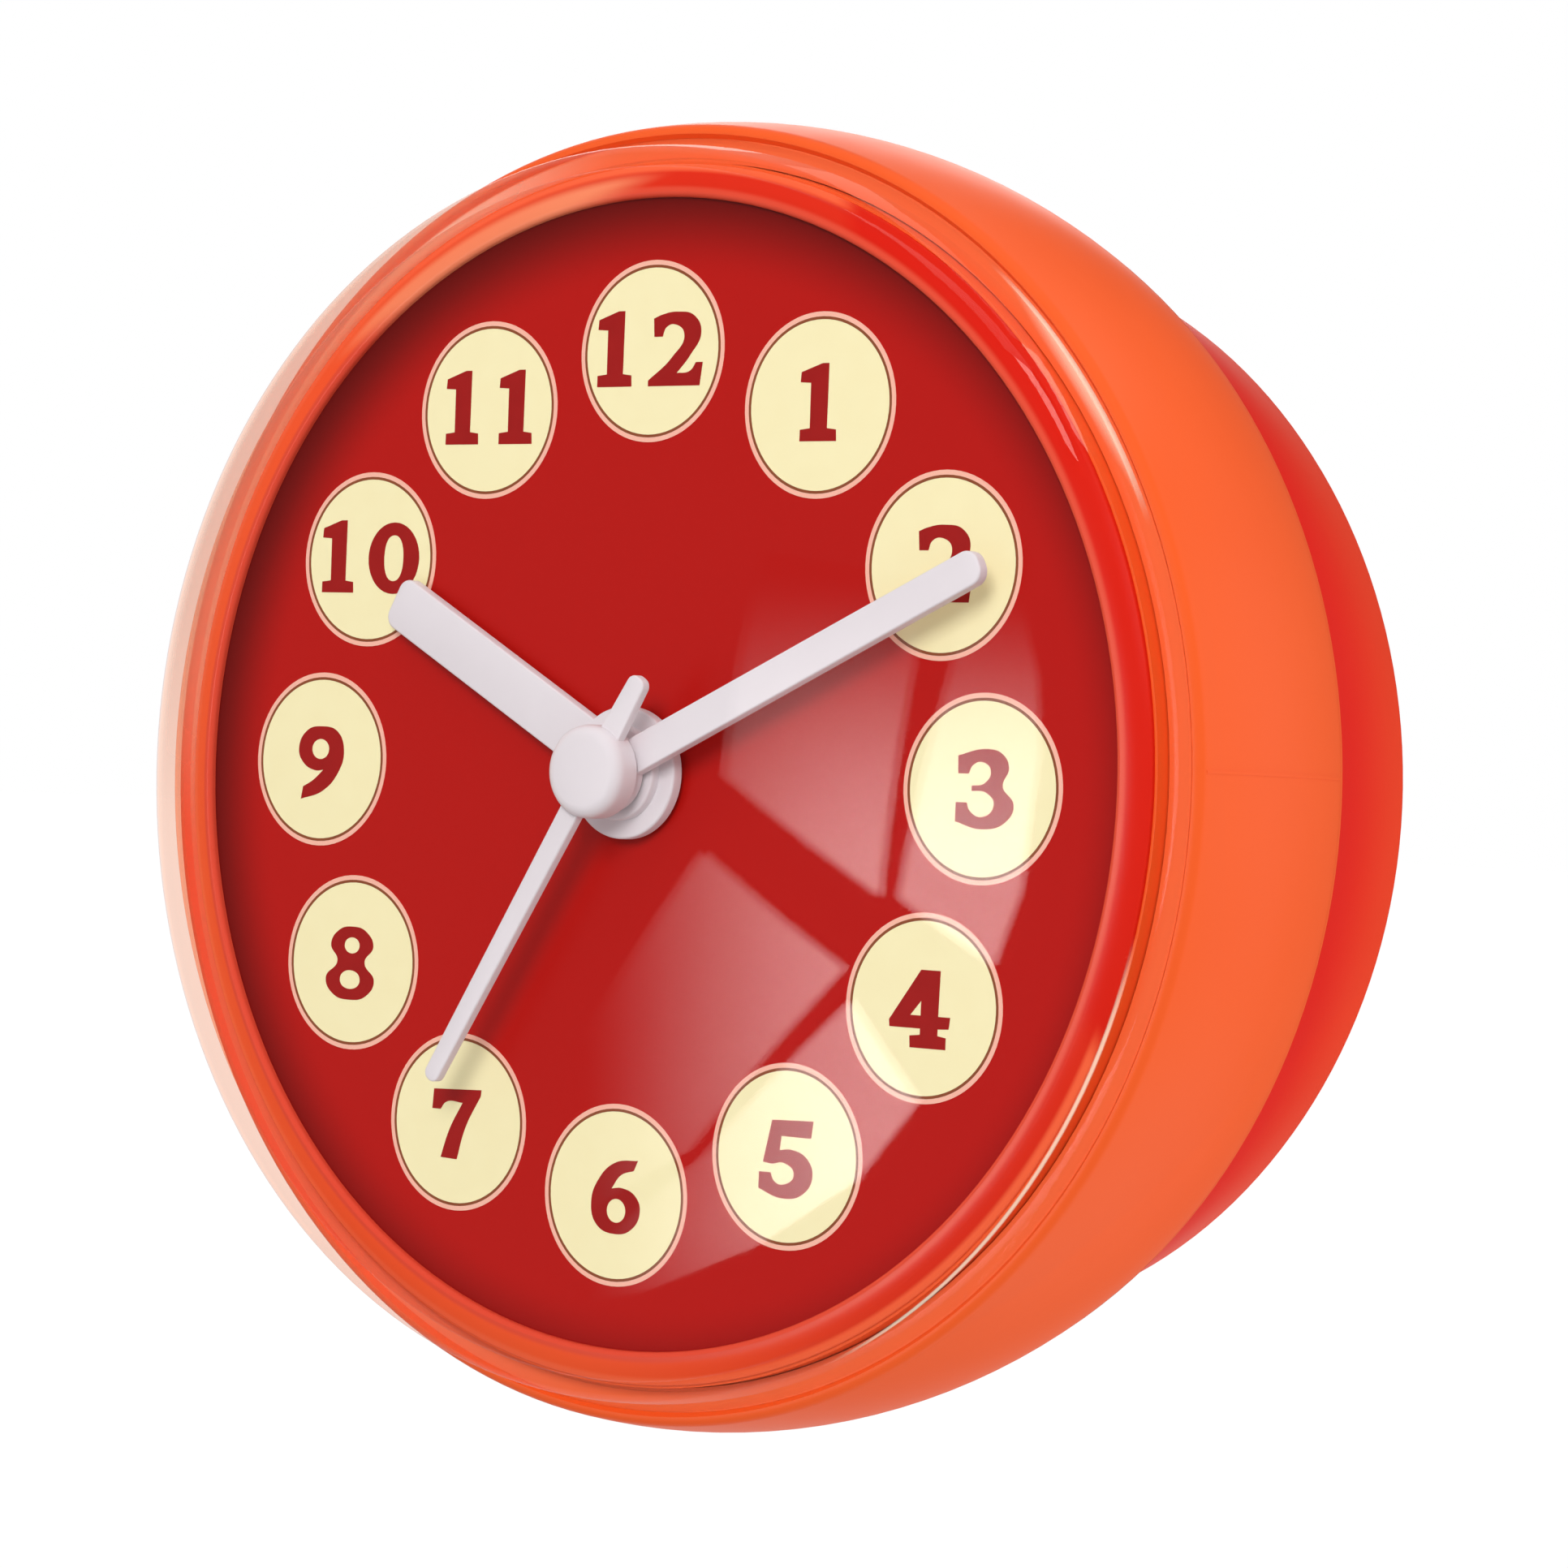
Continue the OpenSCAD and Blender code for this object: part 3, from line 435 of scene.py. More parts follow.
numeral_r = 30
hour_places = {}
for hour in range(1, 13):
    turn = math.tau * hour / 12
    hour_places[hour] = numeral_r * math.sin(turn), numeral_r * math.cos(turn)
disc_r = 6.48
disc_t = 0.03
disc_steps = 72
line_r = 6.04
line_w = 0.2
ink_t = 0.01
disc_top = dial_face + disc_t
line_top = disc_top + ink_t
INKS = {
    "numeral_discs": (0, line_r, disc_top, colour(251, 240, 192), colour(247, 234, 184)),
    "disc_edges": (line_r, disc_r, disc_top, colour(250, 190, 170), colour(246, 180, 158)),
    "disc_lines": (line_r - line_w / 2, line_r + line_w / 2, line_top,
                   colour(150, 84, 52), colour(132, 66, 40)),
}
for name, (inner, outer, top, pale, deep) in INKS.items():
    layer = bmesh.new()
    for at in hour_places.values():
        lathe(layer, [(inner, dial_face), (outer, dial_face), (outer, top), (inner, top)], closed=inner > 0,
              centre=at, steps=disc_steps)
    piece(name, layer, "case", "dial_sheet", material_of(name + "_ink", flat_ink, pale, deep))

# Numerals
# Bold slab-serif numbers, printed upright in dark red in the middle of each disc.
# Each outline is drawn from its corners, marked K, and the points its curves run through.
K = "corner"


def oval(x, y, rx, ry):
    """An oval's four points."""
    return [(x - rx, y), (x, y + ry), (x + rx, y), (x, y - ry)]


DIGITS = {
    "0": [oval(0, 0.1, 2.5, 2.65), oval(0, 0.1, 0.95, 1.7)],
    "1": [[(-1.6, -2.5, K), (1.55, -2.5, K), (1.5, -1.7, K), (0.72, -1.6, K), (0.7, 2.9, K), (0.15, 2.9, K),
           (-1.65, 2.3, K), (-1.7, 1.6, K), (-0.8, 1.55, K), (-0.75, -1.6, K), (-1.6, -1.7, K)]],
    "2": [[(-2.0, 1.0, K), (-1.25, 1.0, K), (-0.95, 1.65), (-0.15, 1.85), (0.7, 1.15), (-0.3, -0.45),
           (-2.4, -2.1, K), (-2.4, -2.5, K), (2.25, -2.5, K), (2.45, -0.85, K), (1.85, -0.85, K),
           (1.35, -1.45), (0.15, -1.6, K), (1.3, -0.35), (2.2, 1.25), (1.6, 2.4), (0, 2.75), (-1.4, 2.55),
           (-2.1, 2.3, K)]],
    "3": [[(-2.0, 1.0, K), (-1.15, 1.0, K), (-0.8, 1.6), (0, 1.8), (0.65, 1.25), (0.2, 0.4),
           (-0.85, 0.2, K), (-0.85, -0.15, K), (0.35, -0.25), (1.0, -1.0), (0.2, -1.85), (-0.95, -1.5),
           (-1.2, -0.95, K), (-2.1, -0.95, K), (-2.1, -2.25, K), (0.1, -2.7), (2.0, -2.15), (2.6, -1.0),
           (1.65, 0.25), (2.1, 1.45), (1.6, 2.35), (0.3, 2.7), (-2.05, 2.2, K)]],
    "4": [[(-1.0, -2.7, K), (1.95, -2.7, K), (1.95, -1.9, K), (1.25, -1.8, K), (1.25, -1.35, K),
           (2.15, -1.3, K), (2.25, -0.5, K), (1.25, -0.5, K), (1.3, 2.6, K), (-0.3, 2.6, K),
           (-2.8, -0.9, K), (-2.75, -1.38, K), (-0.2, -1.38, K), (-0.2, -1.8, K), (-1.05, -1.9, K)],
          [(-1.05, -0.5, K), (-0.2, -0.5, K), (-0.2, 0.5, K)]],
    "5": [[(-1.35, 2.45, K), (2.2, 2.6, K), (2.05, 1.4, K), (-0.5, 1.4, K), (-0.6, 0.4, K), (0.4, 0.5),
           (1.8, -0.05), (2.3, -1.2), (1.5, -2.5), (-0.3, -2.9), (-2.3, -2.35, K), (-2.3, -1.2, K),
           (-1.3, -1.2, K), (-1.0, -1.75), (-0.2, -1.95), (0.7, -1.2), (-0.2, -0.45), (-1.2, -0.6, K),
           (-2.0, -0.5, K)]],
    "6": [[(1.95, 2.6, K), (1.6, 1.85, K), (0.45, 1.45), (-0.35, 0.45, K), (0.6, 0.55), (1.9, 0),
           (2.3, -1.0), (1.6, -2.3), (0, -2.75), (-1.6, -2.2), (-2.15, -0.7), (-1.5, 1.1), (-0.1, 2.3)],
          oval(0.15, -1.1, 0.85, 0.85)],
    "7": [[(-2.4, 2.25, K), (2.15, 2.45, K), (2.1, 2.0, K), (0.75, -0.4), (0.05, -2.75, K), (-1.5, -2.7, K),
           (-0.75, -0.6), (0.4, 1.4, K), (-1.2, 1.35), (-1.7, 0.8, K), (-2.5, 0.8, K)]],
    "8": [[(-1.5, 0.05), (-2.2, 1.25), (-1.5, 2.3), (-0.1, 2.65), (1.3, 2.3), (2.0, 1.25), (1.2, 0.05),
           (2.2, -1.3), (1.5, -2.4), (-0.2, -2.8), (-1.9, -2.4), (-2.6, -1.3)],
          oval(-0.1, 1.25, 0.75, 0.6), oval(-0.2, -1.3, 1.0, 0.7)],
    "9": [[(-1.9, -3.05, K), (-1.72, -2.1, K), (-0.75, -1.6), (0.25, -0.8, K), (-0.6, -0.85), (-1.8, -0.3),
           (-2.3, 0.7), (-1.6, 2.05), (0, 2.45), (1.6, 2.05), (2.25, 0.6), (1.75, -0.95), (0.3, -2.35)],
          oval(-0.1, 0.75, 0.85, 0.75)],
}
PAIR_PLACES = {10: (-3.1, 2.35), 11: (-2.45, 2.65), 12: (-3.3, 2.15)}
ink_top = line_top + ink_t
outline = bpy.data.curves.new("numerals", "CURVE")
outline.dimensions = "2D"
outline.fill_mode = "BOTH"
outline.resolution_u = 10
outline.extrude = (ink_top - disc_top) / 2 * MM
for hour, at in hour_places.items():
    for digit, shift in zip(str(hour), PAIR_PLACES.get(hour, (0,))):
        for loop in DIGITS[digit]:
            spline = outline.splines.new("BEZIER")
            spline.use_cyclic_u = True
            spline.bezier_points.add(len(loop) - 1)
            for knot, (x, y, *kind) in zip(spline.bezier_points, loop):
                knot.co = ((at[0] + shift + x) * MM, (at[1] + y) * MM, 0)
                knot.handle_left_type = knot.handle_right_type = "VECTOR" if kind else "AUTO"
drawn = bpy.data.objects.new("numeral_outlines", outline)
numerals = bmesh.new()
numerals.from_mesh(drawn.to_mesh())
bpy.data.objects.remove(drawn)
bmesh.ops.transform(numerals, verts=numerals.verts,
                    matrix=Matrix.Translation((0, -(ink_top + disc_top) / 2 * MM, 0)) @
                    Matrix.Rotation(math.pi / 2, 4, "X"))
digit_ink = material_of("digit_ink", flat_ink, colour(166, 24, 22), colour(152, 17, 16))
piece("numerals", numerals, "case", "dial_sheet", digit_ink)

# Dial ring
# A red-orange ring that clips over the dial's edge, with a small lip inside and a face that falls outwards.
# It is moulded in a glossier plastic than the drum. Its colour carries painted light and shade: paler
# towards the lower left, deeper towards the upper right and near 2 o'clock, a paler outer rim, a painted
# highlight on the lip and a painted reflection near 11 o'clock.


def by_radius(place, limits):
    """A soft step between two distances from the clock's axis, in mm."""
    return fade(from_axis(place), *(limit * MM for limit in limits))


def towards(place, direction, limits):
    """A soft step along a direction, between two distances from the clock's axis, in mm."""
    return fade(along(place, direction), *(limit * MM for limit in limits))


def lipped_moulding(place, pale, deep, lip_highlight, rim, painted_shade, painted_reflection):
    """Glossy ABS with painted light and shade: a lip highlight, a paler rim, paler to the lower left, shade
    near 2 o'clock and a reflection near 11.
    """
    # Painted light and shade: paler towards the lower left, deeper towards the upper right.
    body = mix(towards(place, LIT_SIDE, LIT_FADE), deep, pale)
    # Painted light: the outer rim is coloured paler.
    body = mix(by_radius(place, LIT_RIM_FADE), body, rim)
    # Painted shade: the ring is coloured deeper near 2 o'clock.
    body = mix(towards(place, SHADED_SIDE, SHADED_FADE), body, painted_shade)
    # Painted highlight: the lip is coloured paler, as light catching its round.
    body = mix(by_radius(place, LIP_HIGHLIGHT_FADE), lip_highlight, body)
    # Painted reflection: the ring is coloured pale near 11 o'clock.
    reflection_share = towards(place, REFLECTION_SIDE, REFLECTION_FADE) * (1 - by_radius(place, REFLECTION_RIM))
    return {"Base Color": mix(reflection_share, body, painted_reflection), **moulded_skin(place, rough=0.2, grain=0.001)}


LIT_SIDE = -0.94, 0, -0.34
LIT_FADE = -20, 25
LIT_RIM_FADE = 42.6, 43.0
SHADED_SIDE = 0.924, 0, 0.383
SHADED_FADE = 29.5, 31.5
LIP_HIGHLIGHT_FADE = 41.4, 41.8
REFLECTION_SIDE = -0.383, 0, 0.924
REFLECTION_FADE = 38.6, 40.8
REFLECTION_RIM = 42.0, 42.9
ring_front = depth_of("dial_ring")[1]
ring_r = radius_of("dial_ring")
ring_in_r = 40.9
ring_lip = 0.4
ring_fall = 0.8
clip_r = 42.5
ring = lathe(bmesh.new(), [
    (ring_in_r, dial_face), *arc((ring_in_r + ring_lip, ring_front - ring_lip), ring_lip, 180, 90, steps=6),
    (ring_r, ring_front - ring_fall, 0.1), (ring_r, dial_seat), (clip_r, dial_seat), (clip_r, dial_face)])
# Its colours: lit side, shaded side, lip highlight, rim, painted shade near 2 o'clock, painted reflection
# near 11 o'clock.
ring_abs = material_of("ring_abs", lipped_moulding, colour(246, 88, 42), colour(222, 42, 18),
                       colour(228, 76, 52), colour(248, 100, 60), colour(218, 28, 9), colour(248, 138, 98))
piece("ring_moulding", ring, "case", "ring_plastic", ring_abs, "dial_ring")

# Hands
# White bar hands stamped from thin satin plastic, pressed on the three arbors at the centre.
# The hour hand grows from a stepped disc, and the second hand from a round cap that hides the arbors.


def bar_hand(bm, rear, front, hub_r, bore_r, bars, tip_round, edge):
    """A flat plate: a disc with a hole, and tapered bars.

    A bar is its width at the root and at the tip, its length in mm and its angle in degrees.
    """
    faces = set(bm.faces)
    bmesh.ops.create_circle(bm, segments=BORE_STEPS, radius=bore_r * MM,
                            matrix=Matrix.Rotation(math.pi / 2, 4, "X"))
    roots = []
    for root_w, tip_w, length, angle in bars:
        swing = Matrix.Rotation(math.radians(angle), 3, "Y")
        half = math.asin(root_w / 2 / hub_r)
        left, right, tip_right, tip_left = [bm.verts.new(swing @ Vector((x * MM, 0, z * MM))) for x, z in (
            (-root_w / 2, hub_r * math.cos(half)), (root_w / 2, hub_r * math.cos(half)),
            (tip_w / 2, length), (-tip_w / 2, length))]
        for ends in ((left, tip_left), (tip_left, tip_right), (tip_right, right)):
            bm.edges.new(ends)
        round_off(bm, [tip_left, tip_right], tip_round, segments=8, affect="VERTICES")
        roots.append((angle, math.degrees(half), left, right))
    for (angle, half, left, right), after in zip(roots, roots[1:] + roots[:1]):
        sweep = (after[0] - angle - half - after[1]) % 360
        bmesh.ops.spin(bm, geom=[right], axis=(0, 1, 0), angle=math.radians(sweep),
                       steps=int(sweep / HUB_STEP_DEG))
    flat = [v for v in bm.verts if not v.link_faces]
    bmesh.ops.remove_doubles(bm, verts=flat, dist=JOIN_DIST)
    bmesh.ops.triangle_fill(bm, edges=[e for e in bm.edges if not e.link_faces], use_beauty=True)
    plate = [f for f in bm.faces if f not in faces]
    bmesh.ops.translate(bm, verts=list({v for f in plate for v in f.verts}), vec=(0, -rear * MM, 0))
    front_face = bmesh.ops.extrude_face_region(bm, geom=plate)["geom"]
    raised = [v for v in front_face if isinstance(v, bmesh.types.BMVert)]
    bmesh.ops.translate(bm, verts=raised, vec=(0, (rear - front) * MM, 0))
    bmesh.ops.recalc_face_normals(bm, faces=bm.faces)
    top = set(raised)
    rims = [e for e in bm.edges if top.issuperset(e.verts) and e.calc_face_angle(0) > RIM_RADIANS]
    round_off(bm, rims, edge, segments=3)
    return bm


def satin_white(place, pale, deep):
    """White plastic with a slight tooling drift and a fine satin skin."""
    drift = noise(place, size=5, detail=3)
    skin = noise(place, size=0.15, detail=1)
    return {"Base Color": mix(drift, deep, pale), "Roughness": 0.38 + 0.1 * drift,
            "Normal": relief(skin, depth=0.002)}


BORE_STEPS = 48
HUB_STEP_DEG = 4
RIM_RADIANS = 1
HUB_STEPS = 96
hand_white = material_of("hand_white", satin_white, colour(232, 224, 228), colour(225, 216, 220))
blade_t = 0.9
hub_lift = 0.2
hour_rear, hour_front = depth_of("hour_hand")
hour_bore_r = 2.5
hour_step_r = 3.4
hour_hand = bar_hand(bmesh.new(), hour_rear, hour_rear + blade_t, hub_r=4.7, bore_r=hour_bore_r,
                     bars=[(3.9, 3.9, 25.3, 298.5)], tip_round=0.97, edge=0.18)
lathe(hour_hand, [(hour_bore_r, hour_rear + hub_lift), (hour_step_r, hour_rear + hub_lift),
                  (hour_step_r, hour_front, 0.2), (hour_bore_r, hour_front)], steps=HUB_STEPS)
piece("hour_bar", hour_hand, "hour", "hand_plastic", hand_white, "hour_hand")
minute_rear, minute_front = depth_of("minute_hand")
minute_bore_r = 1.7
minute_step_r = 2.7
minute_hand = bar_hand(bmesh.new(), minute_rear, minute_rear + blade_t, hub_r=2.8, bore_r=minute_bore_r,
                       bars=[(2.57, 2.45, 34.6, 64.2)], tip_round=1.05, edge=0.16)
lathe(minute_hand, [(minute_bore_r, minute_rear + hub_lift), (minute_step_r, minute_rear + hub_lift),
                    (minute_step_r, minute_front), (minute_bore_r, minute_front)], steps=HUB_STEPS)
piece("minute_bar", minute_hand, "minute", "hand_plastic", hand_white, "minute_hand")
cap_rear, cap_front = depth_of("second_hand")
cap_r = 3.3
cap_roof = 0.8
cap_lap = 0.2
second_bore_r = 0.7
second_blade_t = 0.72
second_blade_lift = 0.5
blade_rear = cap_rear + second_blade_lift
second_hand = bar_hand(bmesh.new(), blade_rear, blade_rear + second_blade_t, hub_r=cap_r - cap_lap,
                       bore_r=second_bore_r, bars=[(1.725, 1.35, 26.5, 211.2), (1.875, 1.5, 7.8, 31.2)],
                       tip_round=0.6, edge=0.14)
lathe(second_hand, [(second_bore_r, cap_rear), (cap_r, cap_rear), (cap_r, cap_front, 0.9), (0, cap_front),
                    (0, cap_front - cap_roof), (second_bore_r, cap_front - cap_roof)],
      closed=False, steps=HUB_STEPS)
piece("second_bar", second_hand, "second", "hand_plastic", hand_white, "second_hand")

# Movement
# A standard boxed quartz movement in black plastic, screwed to the drum's wall behind the dial.
# The time is set with a black knob at its back. Inside are steel, copper, a magnet and acetal wheels.


def metal(place, pale, deep, rough, streak):
    """Rolled or plated metal, streaked along X, with a thin tarnish."""
    stretch = place.node("ShaderNodeVectorMath", {"operation": "MULTIPLY"}, {0: place, 1: (streak, 1, 1)})
    lines = noise(stretch, size=0.3, detail=3)
    tarnish = noise(place, size=4, detail=4)
    return {"Base Color": mix(tarnish, deep, pale), "Roughness": rough + 0.2 * lines, "Metallic": 1.0,
            "Normal": relief(lines, depth=0.003)}


movement_black = material_of("movement_black", hard_moulding, colour(40, 40, 42), colour(30, 30, 32),
                             0.45, 0.01)
steel = material_of("stamped_steel", metal, colour(205, 205, 208), colour(172, 172, 176), 0.25, 0.08)
cell_sleeve = material_of("cell_sleeve", metal, colour(206, 186, 140), colour(188, 166, 118), 0.3, 0.3)
copper = material_of("coil_copper", metal, colour(206, 128, 84), colour(168, 92, 56), 0.3, 12)
magnet = material_of("sintered_magnet", metal, colour(92, 92, 96), colour(66, 66, 70), 0.5, 1)
acetal = material_of("wheel_acetal", satin_white, colour(236, 232, 214), colour(226, 221, 200))
board_mask = material_of("board_mask", flat_ink, colour(34, 112, 66), colour(22, 92, 52))
INSIDE = {
    movement_black: ("movement_case", "movement_cover", "set_knob"),
    steel: ("movement_screws", "negative_contact", "positive_contact", "quartz_crystal", "stator",
            "coil_core"),
    cell_sleeve: ("battery",),
    copper: ("drive_coil",),
    magnet: ("rotor_magnet",),
    acetal: ("rotor_pinion", "step_wheel", "second_wheel", "third_wheel", "centre_wheel", "minute_wheel",
             "hour_wheel", "setting_pinion"),
    board_mask: ("circuit_board",),
}
for material, nodes in INSIDE.items():
    finish_nodes(material, *nodes)

# Lens
# A domed clear acrylic lens with a rounded shoulder and an upright skirt that plugs into the drum's rebate.
# It is polished inside and out, so it shows mostly by what it mirrors. Its skirt at the left has a painted
# warm tint and a painted milky glow, and pale painted glints lie on its bend and foot at the right.


def clear_lens(name, strength, tint, painted_glow_colour):
    """Clear plastic that mirrors more at a glancing angle, with a painted tint and painted milky glow on
    its skirt and painted glint lines.
    """
    made = bpy.data.materials.new(name)
    made.use_nodes = True
    tree = made.node_tree
    tree.nodes.clear()
    facing = Wire(tree.nodes.new("ShaderNodeLayerWeight").outputs["Facing"])
    place = facing.node("ShaderNodeTexCoord", {}, {}, output="Object")
    haze = noise(place, size=7, detail=4)
    gloss = facing.node("ShaderNodeBsdfGlossy", {}, {"Roughness": 0.02 + 0.01 * haze})
    clear, deep = (facing.node("ShaderNodeBsdfTransparent", {}, {"Color": c}) for c in ((1, 1, 1, 1), tint))
    # Painted light: a pale diffuse coat on the left and upper-left skirt stands for the glow seen there.
    pale = facing.node("ShaderNodeBsdfDiffuse", {}, {"Color": painted_glow_colour})
    left = towards(place, (-1, 0, 0), LEFT_FADE)
    warm = left * by_depth(place, TINT_FADE)
    tinted = facing.node("ShaderNodeMixShader", {}, {0: warm, 1: clear, 2: deep})
    painted_glow_share = GLOW_MOST * towards(place, GLOW_SIDE, GLOW_FADE) + GLOW_LEFT * left
    painted_glow = painted_glow_share * by_depth(place, SKIRT_FADE)
    # Painted glints: pale bands on the skirt's foot near 2 o'clock and on its bend near 4 o'clock.
    painted_light_at_foot = by_depth(place, FOOT_GLINT) * towards(place, UPPER_GLINT_SIDE, UPPER_GLINT_FADE)
    bend_glint = (by_depth(place, BEND_GLINT_RISE) - by_depth(place, BEND_GLINT_FALL)) * towards(place, LOWER_GLINT_SIDE, LOWER_GLINT_FADE)
    lines = by_radius(place, OUTSIDE) * (GLINT_MOST * (painted_light_at_foot + bend_glint))
    body = facing.node("ShaderNodeMixShader", {}, {0: painted_glow + lines, 1: tinted, 2: pale})
    share = (HEAD_ON + (1 - HEAD_ON) * facing ** 5) * strength
    both = facing.node("ShaderNodeMixShader", {}, {0: share, 1: body, 2: gloss})
    tree.links.new(both.socket, tree.nodes.new("ShaderNodeOutputMaterial").inputs["Surface"])
    return made


HEAD_ON = 0.04
LEFT_FADE = 0, 25
TINT_FADE = 43.4, 42
SKIRT_FADE = 42.6, 41
GLOW_SIDE = -0.8, 0, 0.6
GLOW_FADE = 30, 44
GLOW_MOST = 0.4
GLOW_LEFT = 0.1
GLINT_MOST = 0.65
OUTSIDE = 43.9, 44.2
FOOT_GLINT = 38.75, 38.5
UPPER_GLINT_SIDE = 0.793, 0, 0.609
UPPER_GLINT_FADE = 43.7, 45.1
BEND_GLINT_RISE = 41.3, 41.1
BEND_GLINT_FALL = 40.95, 40.75
LOWER_GLINT_SIDE = 0.793, 0, -0.609
LOWER_GLINT_FADE = 40, 43
lens_rear, lens_front = depth_of("lens")
foot_gap = 0.03
lens_foot = lens_rear + foot_gap
lens_r = radius_of("lens")
lens_wall = 1.4
skirt_front = 38.6
shoulder_at = (42.3, 41.6)
shoulder_r = 2.0
skirt_deg = 15
dome_deg = 75.7
dome_radius = 173.45
dome_at = (0, lens_front - dome_radius)
lens = lathe(bmesh.new(), [
    *arc(dome_at, dome_radius, 90, dome_deg, steps=32),
    *arc(shoulder_at, shoulder_r, dome_deg, skirt_deg, steps=12)[1:],
    (lens_r, skirt_front), (lens_r, lens_foot, 0.15), (lens_r - lens_wall, lens_foot, 0.15),
    (lens_r - lens_wall, skirt_front),
    *arc(shoulder_at, shoulder_r - lens_wall, skirt_deg, dome_deg, steps=8),
    *arc(dome_at, dome_radius - lens_wall, dome_deg, 90, steps=32)[1:]], closed=False)
lens_acrylic = clear_lens("lens_acrylic", strength=0.4, tint=(1, 0.73, 0.62, 1), painted_glow_colour=(1, 0.86, 0.66, 1))
clear_cover = piece("lens_moulding", lens, "case", "lens_clear", lens_acrylic, "lens")
clear_cover.visible_diffuse = clear_cover.visible_shadow = False

# Studio
# A pale plain floor well below the clock and a white room, with the camera where the photograph was taken
# from. The key light is above it, and weaker soft lights come from the right, the top and below.


def aimed(azimuth_deg, elevation_deg):
    """A direction from the clock: degrees to the right of straight ahead, and above level."""
    turned, raised = math.radians(azimuth_deg), math.radians(elevation_deg)
    return Vector((math.sin(turned) * math.cos(raised), -math.cos(turned) * math.cos(raised),
                   math.sin(raised)))


CAMERA_AZ, CAMERA_EL, CAMERA_ROLL = 36.863, 0.159, 2.523
CAMERA_DISTANCE = 0.32012
CAMERA_LENS = 106.08
AIM = Vector((0.01335, -0.0395, -0.000273))
az, roll = math.radians(CAMERA_AZ), math.radians(CAMERA_ROLL)
forward = -aimed(CAMERA_AZ, CAMERA_EL)
level = Vector((math.cos(az), math.sin(az), 0))
upward = level.cross(forward)
right = level * math.cos(roll) + upward * math.sin(roll)
up = upward * math.cos(roll) - level * math.sin(roll)
eye = bpy.data.objects.new("photo_camera", bpy.data.cameras.new("photo_camera"))
eye.data.lens = CAMERA_LENS
eye.data.clip_start = 0.01
eye.matrix_world = Matrix.Translation(AIM - forward * CAMERA_DISTANCE) @ \
    Matrix((right, up, -forward)).transposed().to_4x4()
bpy.context.scene.collection.objects.link(eye)
bpy.context.scene.camera = eye
bpy.context.scene.view_settings.view_transform = "Standard"

world = bpy.data.worlds.new("studio")
world.use_nodes = True
bpy.context.scene.world = world
sky = world.node_tree.nodes["Background"]
rays = world.node_tree.nodes.new("ShaderNodeLightPath").outputs
seen, mirrored = (Wire(rays[f"Is {kind} Ray"]) for kind in ("Camera", "Glossy"))
heading = seen.node("ShaderNodeTexCoord", {}, {}, output="Generated")
sideways, behind = (seen.node("ShaderNodeSeparateXYZ", {}, {0: heading}, output=axis) for axis in "XY")
AMBIENT = 0.56
DARK_ROOM = 0.06
DIM_BACKDROP = 0.7
BACKDROP_BEHIND = -0.1, 0.2
BACKDROP_LEFT = -0.6, -0.2
backdrop = fade(behind, *BACKDROP_BEHIND) * (1 - fade(sideways, *BACKDROP_LEFT))
glints = mirrored * (DARK_ROOM - AMBIENT + backdrop * (DIM_BACKDROP - DARK_ROOM))
sky.inputs["Color"].default_value = (1, 1, 1, 1)
world.node_tree.links.new((AMBIENT + seen * (1 - AMBIENT) + glints).socket, sky.inputs["Strength"])


def softbox(name, offset, size, power):
    """A square soft light aimed at the clock from an offset in metres: right, up, towards the camera."""
    lamp = bpy.data.objects.new(name, bpy.data.lights.new(name, "AREA"))
    lamp.data.size = size
    lamp.data.energy = power
    at = right * offset[0] + up * offset[1] - forward * offset[2]
    lamp.matrix_world = Matrix.Translation(AIM + at) @ at.to_track_quat("Z", "Y").to_matrix().to_4x4()
    lamp.visible_glossy = False
    bpy.context.scene.collection.objects.link(lamp)


softbox("key_light", (-0.14, 0.32, 0.77), size=0.3, power=3.8)
softbox("side_light", (0.7, 0.05, -0.1), size=0.6, power=2.0)
softbox("top_light", (-0.05, 0.6, 0.1), size=0.7, power=0.9)
softbox("bounce_light", (0.35, -0.55, -0.2), size=0.7, power=3.0)


def glow(name, strength, tint=(1, 1, 1, 1)):
    """A staged surface that shines evenly, whatever light falls on it."""
    made = bpy.data.materials.new(name)
    made.use_nodes = True
    shader = made.node_tree.nodes["Principled BSDF"]
    shader.inputs["Base Color"].default_value = (0.02, 0.02, 0.02, 1)
    shader.inputs["Specular IOR Level"].default_value = 0
    shader.inputs["Emission Color"].default_value = tint
    shader.inputs["Emission Strength"].default_value = strength
    return made


def staged(name, bm, material):
    """An object that belongs to the studio and not to the clock."""
    made = object_from(name, bm, material)
    return made


FLOOR_DROP = 0.10
FLOOR_SIZE = 6
floor_mesh = bmesh.new()
bmesh.ops.create_grid(floor_mesh, x_segments=1, y_segments=1, size=FLOOR_SIZE,
                      matrix=Matrix.Translation((0, 0, -FLOOR_DROP)))
floor = staged("floor", floor_mesh, glow("floor_paper", 1))
floor.visible_diffuse = floor.visible_glossy = floor.visible_shadow = False

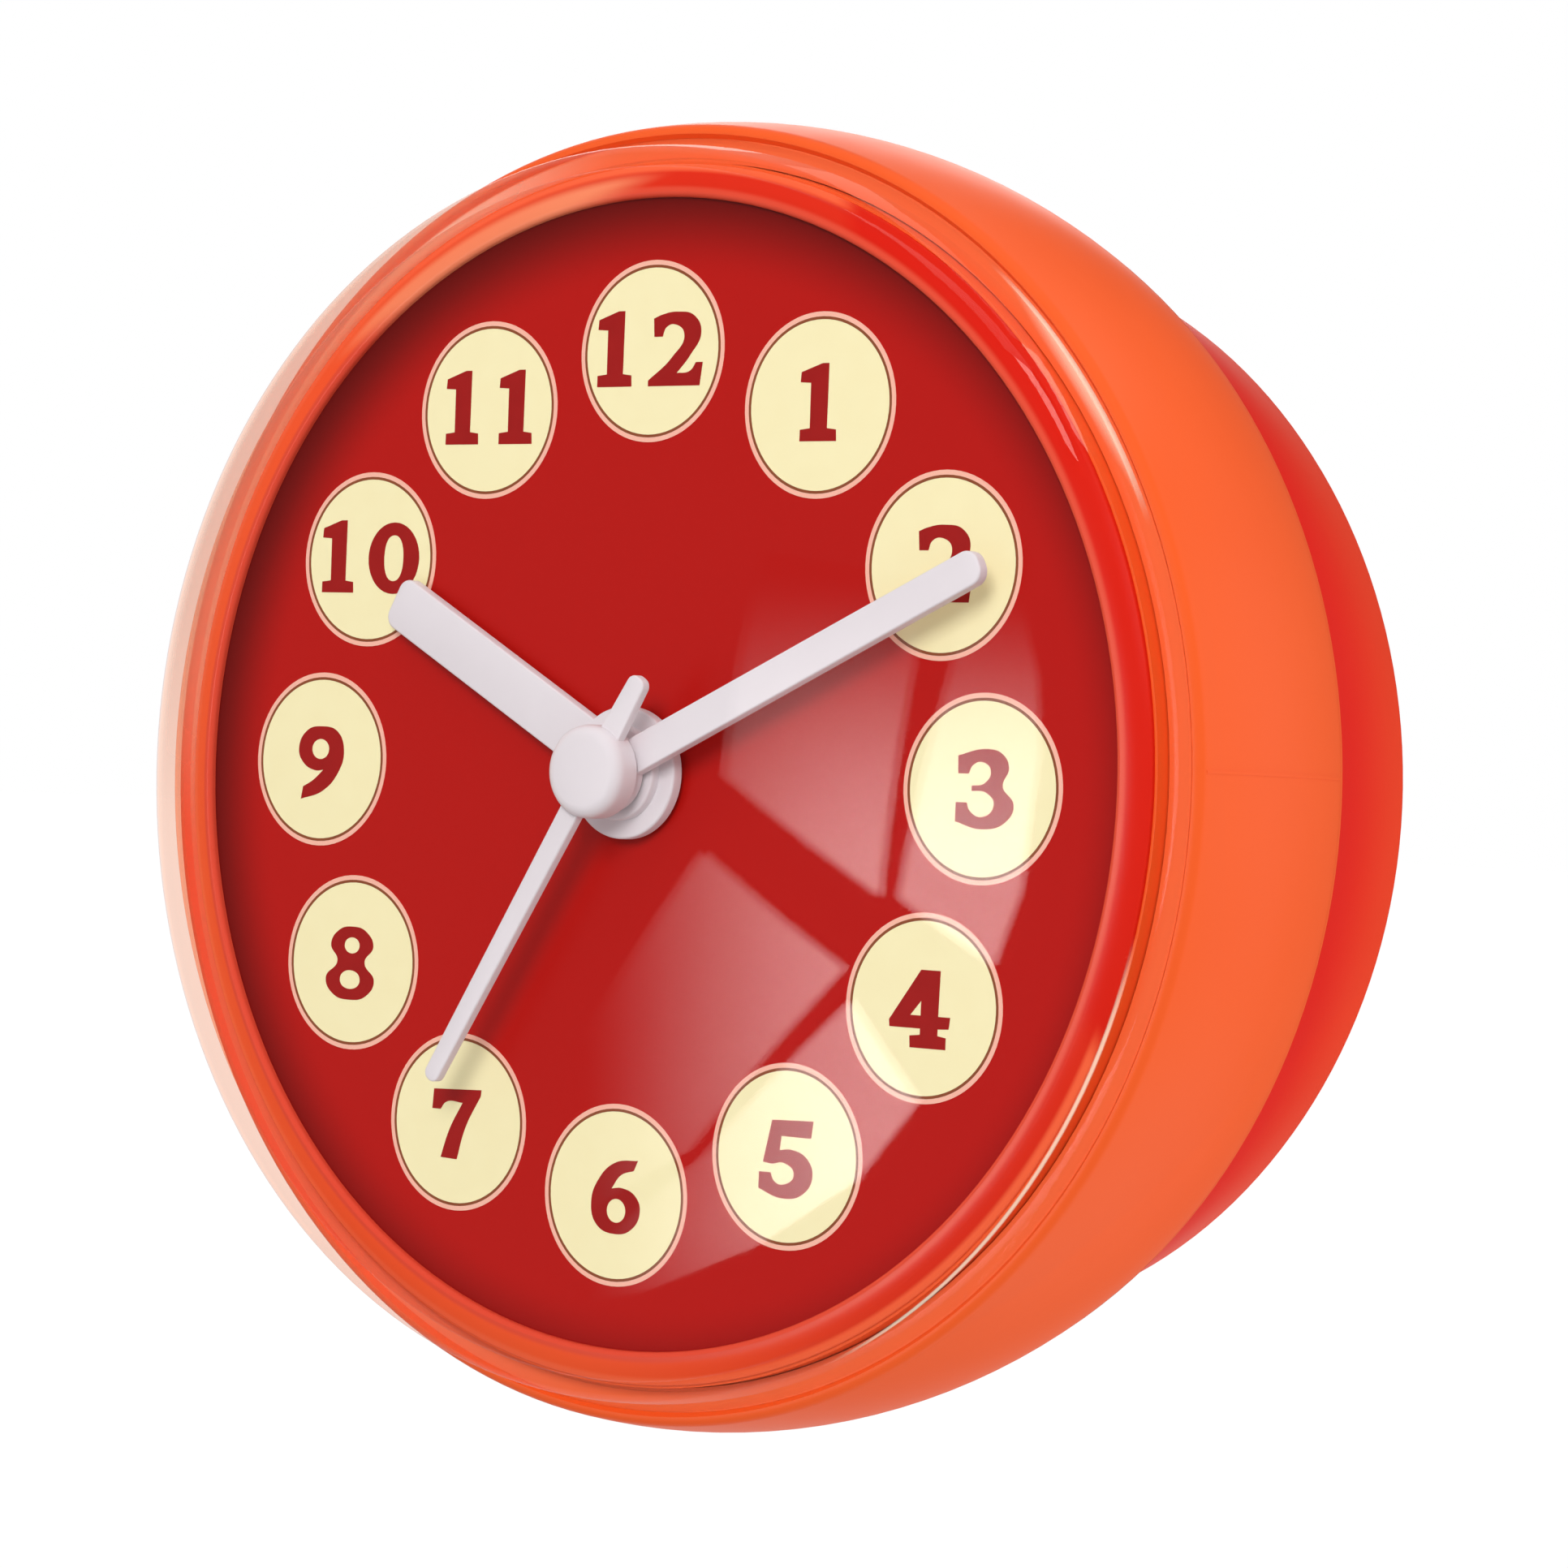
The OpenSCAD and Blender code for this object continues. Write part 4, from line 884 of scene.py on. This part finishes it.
# Window and reflectors
# Four window panes stand far off at the front left and dim towards the top and the left. A warm card is at
# the left, and a card, a panel and a strip are behind. Their corners are directions from the lens, in
# degrees, and they are only seen mirrored.
PANES = {
    "pane_upper_inner": ((-26.9, 11.7), (-27.9, 0), (-17.5, -6.1), (-15.5, 11)),
    "pane_upper_outer": ((-13.7, 11), (-13.7, 6.5), (-16.4, -6.1), (-10.5, -9.7), (-8.7, -5.4), (-7.9, 1.9),
                         (-8.4, 6.1), (-10.2, 11.2)),
    "pane_lower_inner": ((-29.1, -3.9), (-19.9, -9.9), (-31.9, -19.2), (-41, -22), (-39, -14)),
    "pane_lower_outer": ((-19.6, -11.5), (-31.2, -19.6), (-41, -23.8), (-43.5, -26.2), (-37.6, -26.1),
                         (-28.3, -24.3), (-20.5, -21.1), (-15.8, -17)),
}
REFLECTORS = {
    "warm_card": ((1.8, 0.85, 0.35, 1), 1, ((-76, -25), (-100, -25), (-100, 25), (-76, 25))),
    "top_card": ((1, 0.95, 0.9, 1), 3, ((-130, 14), (-130, 30), (-155, 30), (-155, 14))),
    "rear_panel": ((1, 0.9, 0.8, 1), 10, ((135.6, 43), (135.6, 46), (155.2, 54.5), (155.2, 51.5))),
    "rear_strip": ((1, 0.9, 0.8, 1), 1.5, ((155.2, 50), (155.2, 56), (182, 58), (203, 51), (215, 39),
                                         (210, 36), (200, 46), (182, 52))),
}
WINDOW_AWAY = 3
DUSK_ACROSS = -1.85, -0.83
DUSK_UP = -0.26, 0.57
lens_middle = Vector((0, -lens_front * MM, 0))
window_light = glow("window_light", 10)
panes = window_light.node_tree
spot = Wire(panes.nodes.new("ShaderNodeTexCoord").outputs["Object"])
across, height = (spot.node("ShaderNodeSeparateXYZ", {}, {0: spot}, output=axis) for axis in "XZ")
dusk = fade(across, *DUSK_ACROSS) * (1 - fade(height, *DUSK_UP))
shine = mix(dusk, (0, 0, 0, 1), (1, 0.92, 0.92, 1))
panes.links.new(shine.socket, panes.nodes["Principled BSDF"].inputs["Emission Color"])
mirrored_only = {name: (window_light, corners) for name, corners in PANES.items()}
for name, (tint, strength, corners) in REFLECTORS.items():
    mirrored_only[name] = glow(name, strength, tint), corners
for name, (light, corners) in mirrored_only.items():
    pane = bmesh.new()
    pane.faces.new([pane.verts.new(lens_middle + WINDOW_AWAY * aimed(*corner)) for corner in corners])
    shown = staged(name, pane, light)
    shown.visible_camera = shown.visible_diffuse = shown.visible_shadow = shown.visible_transmission = False
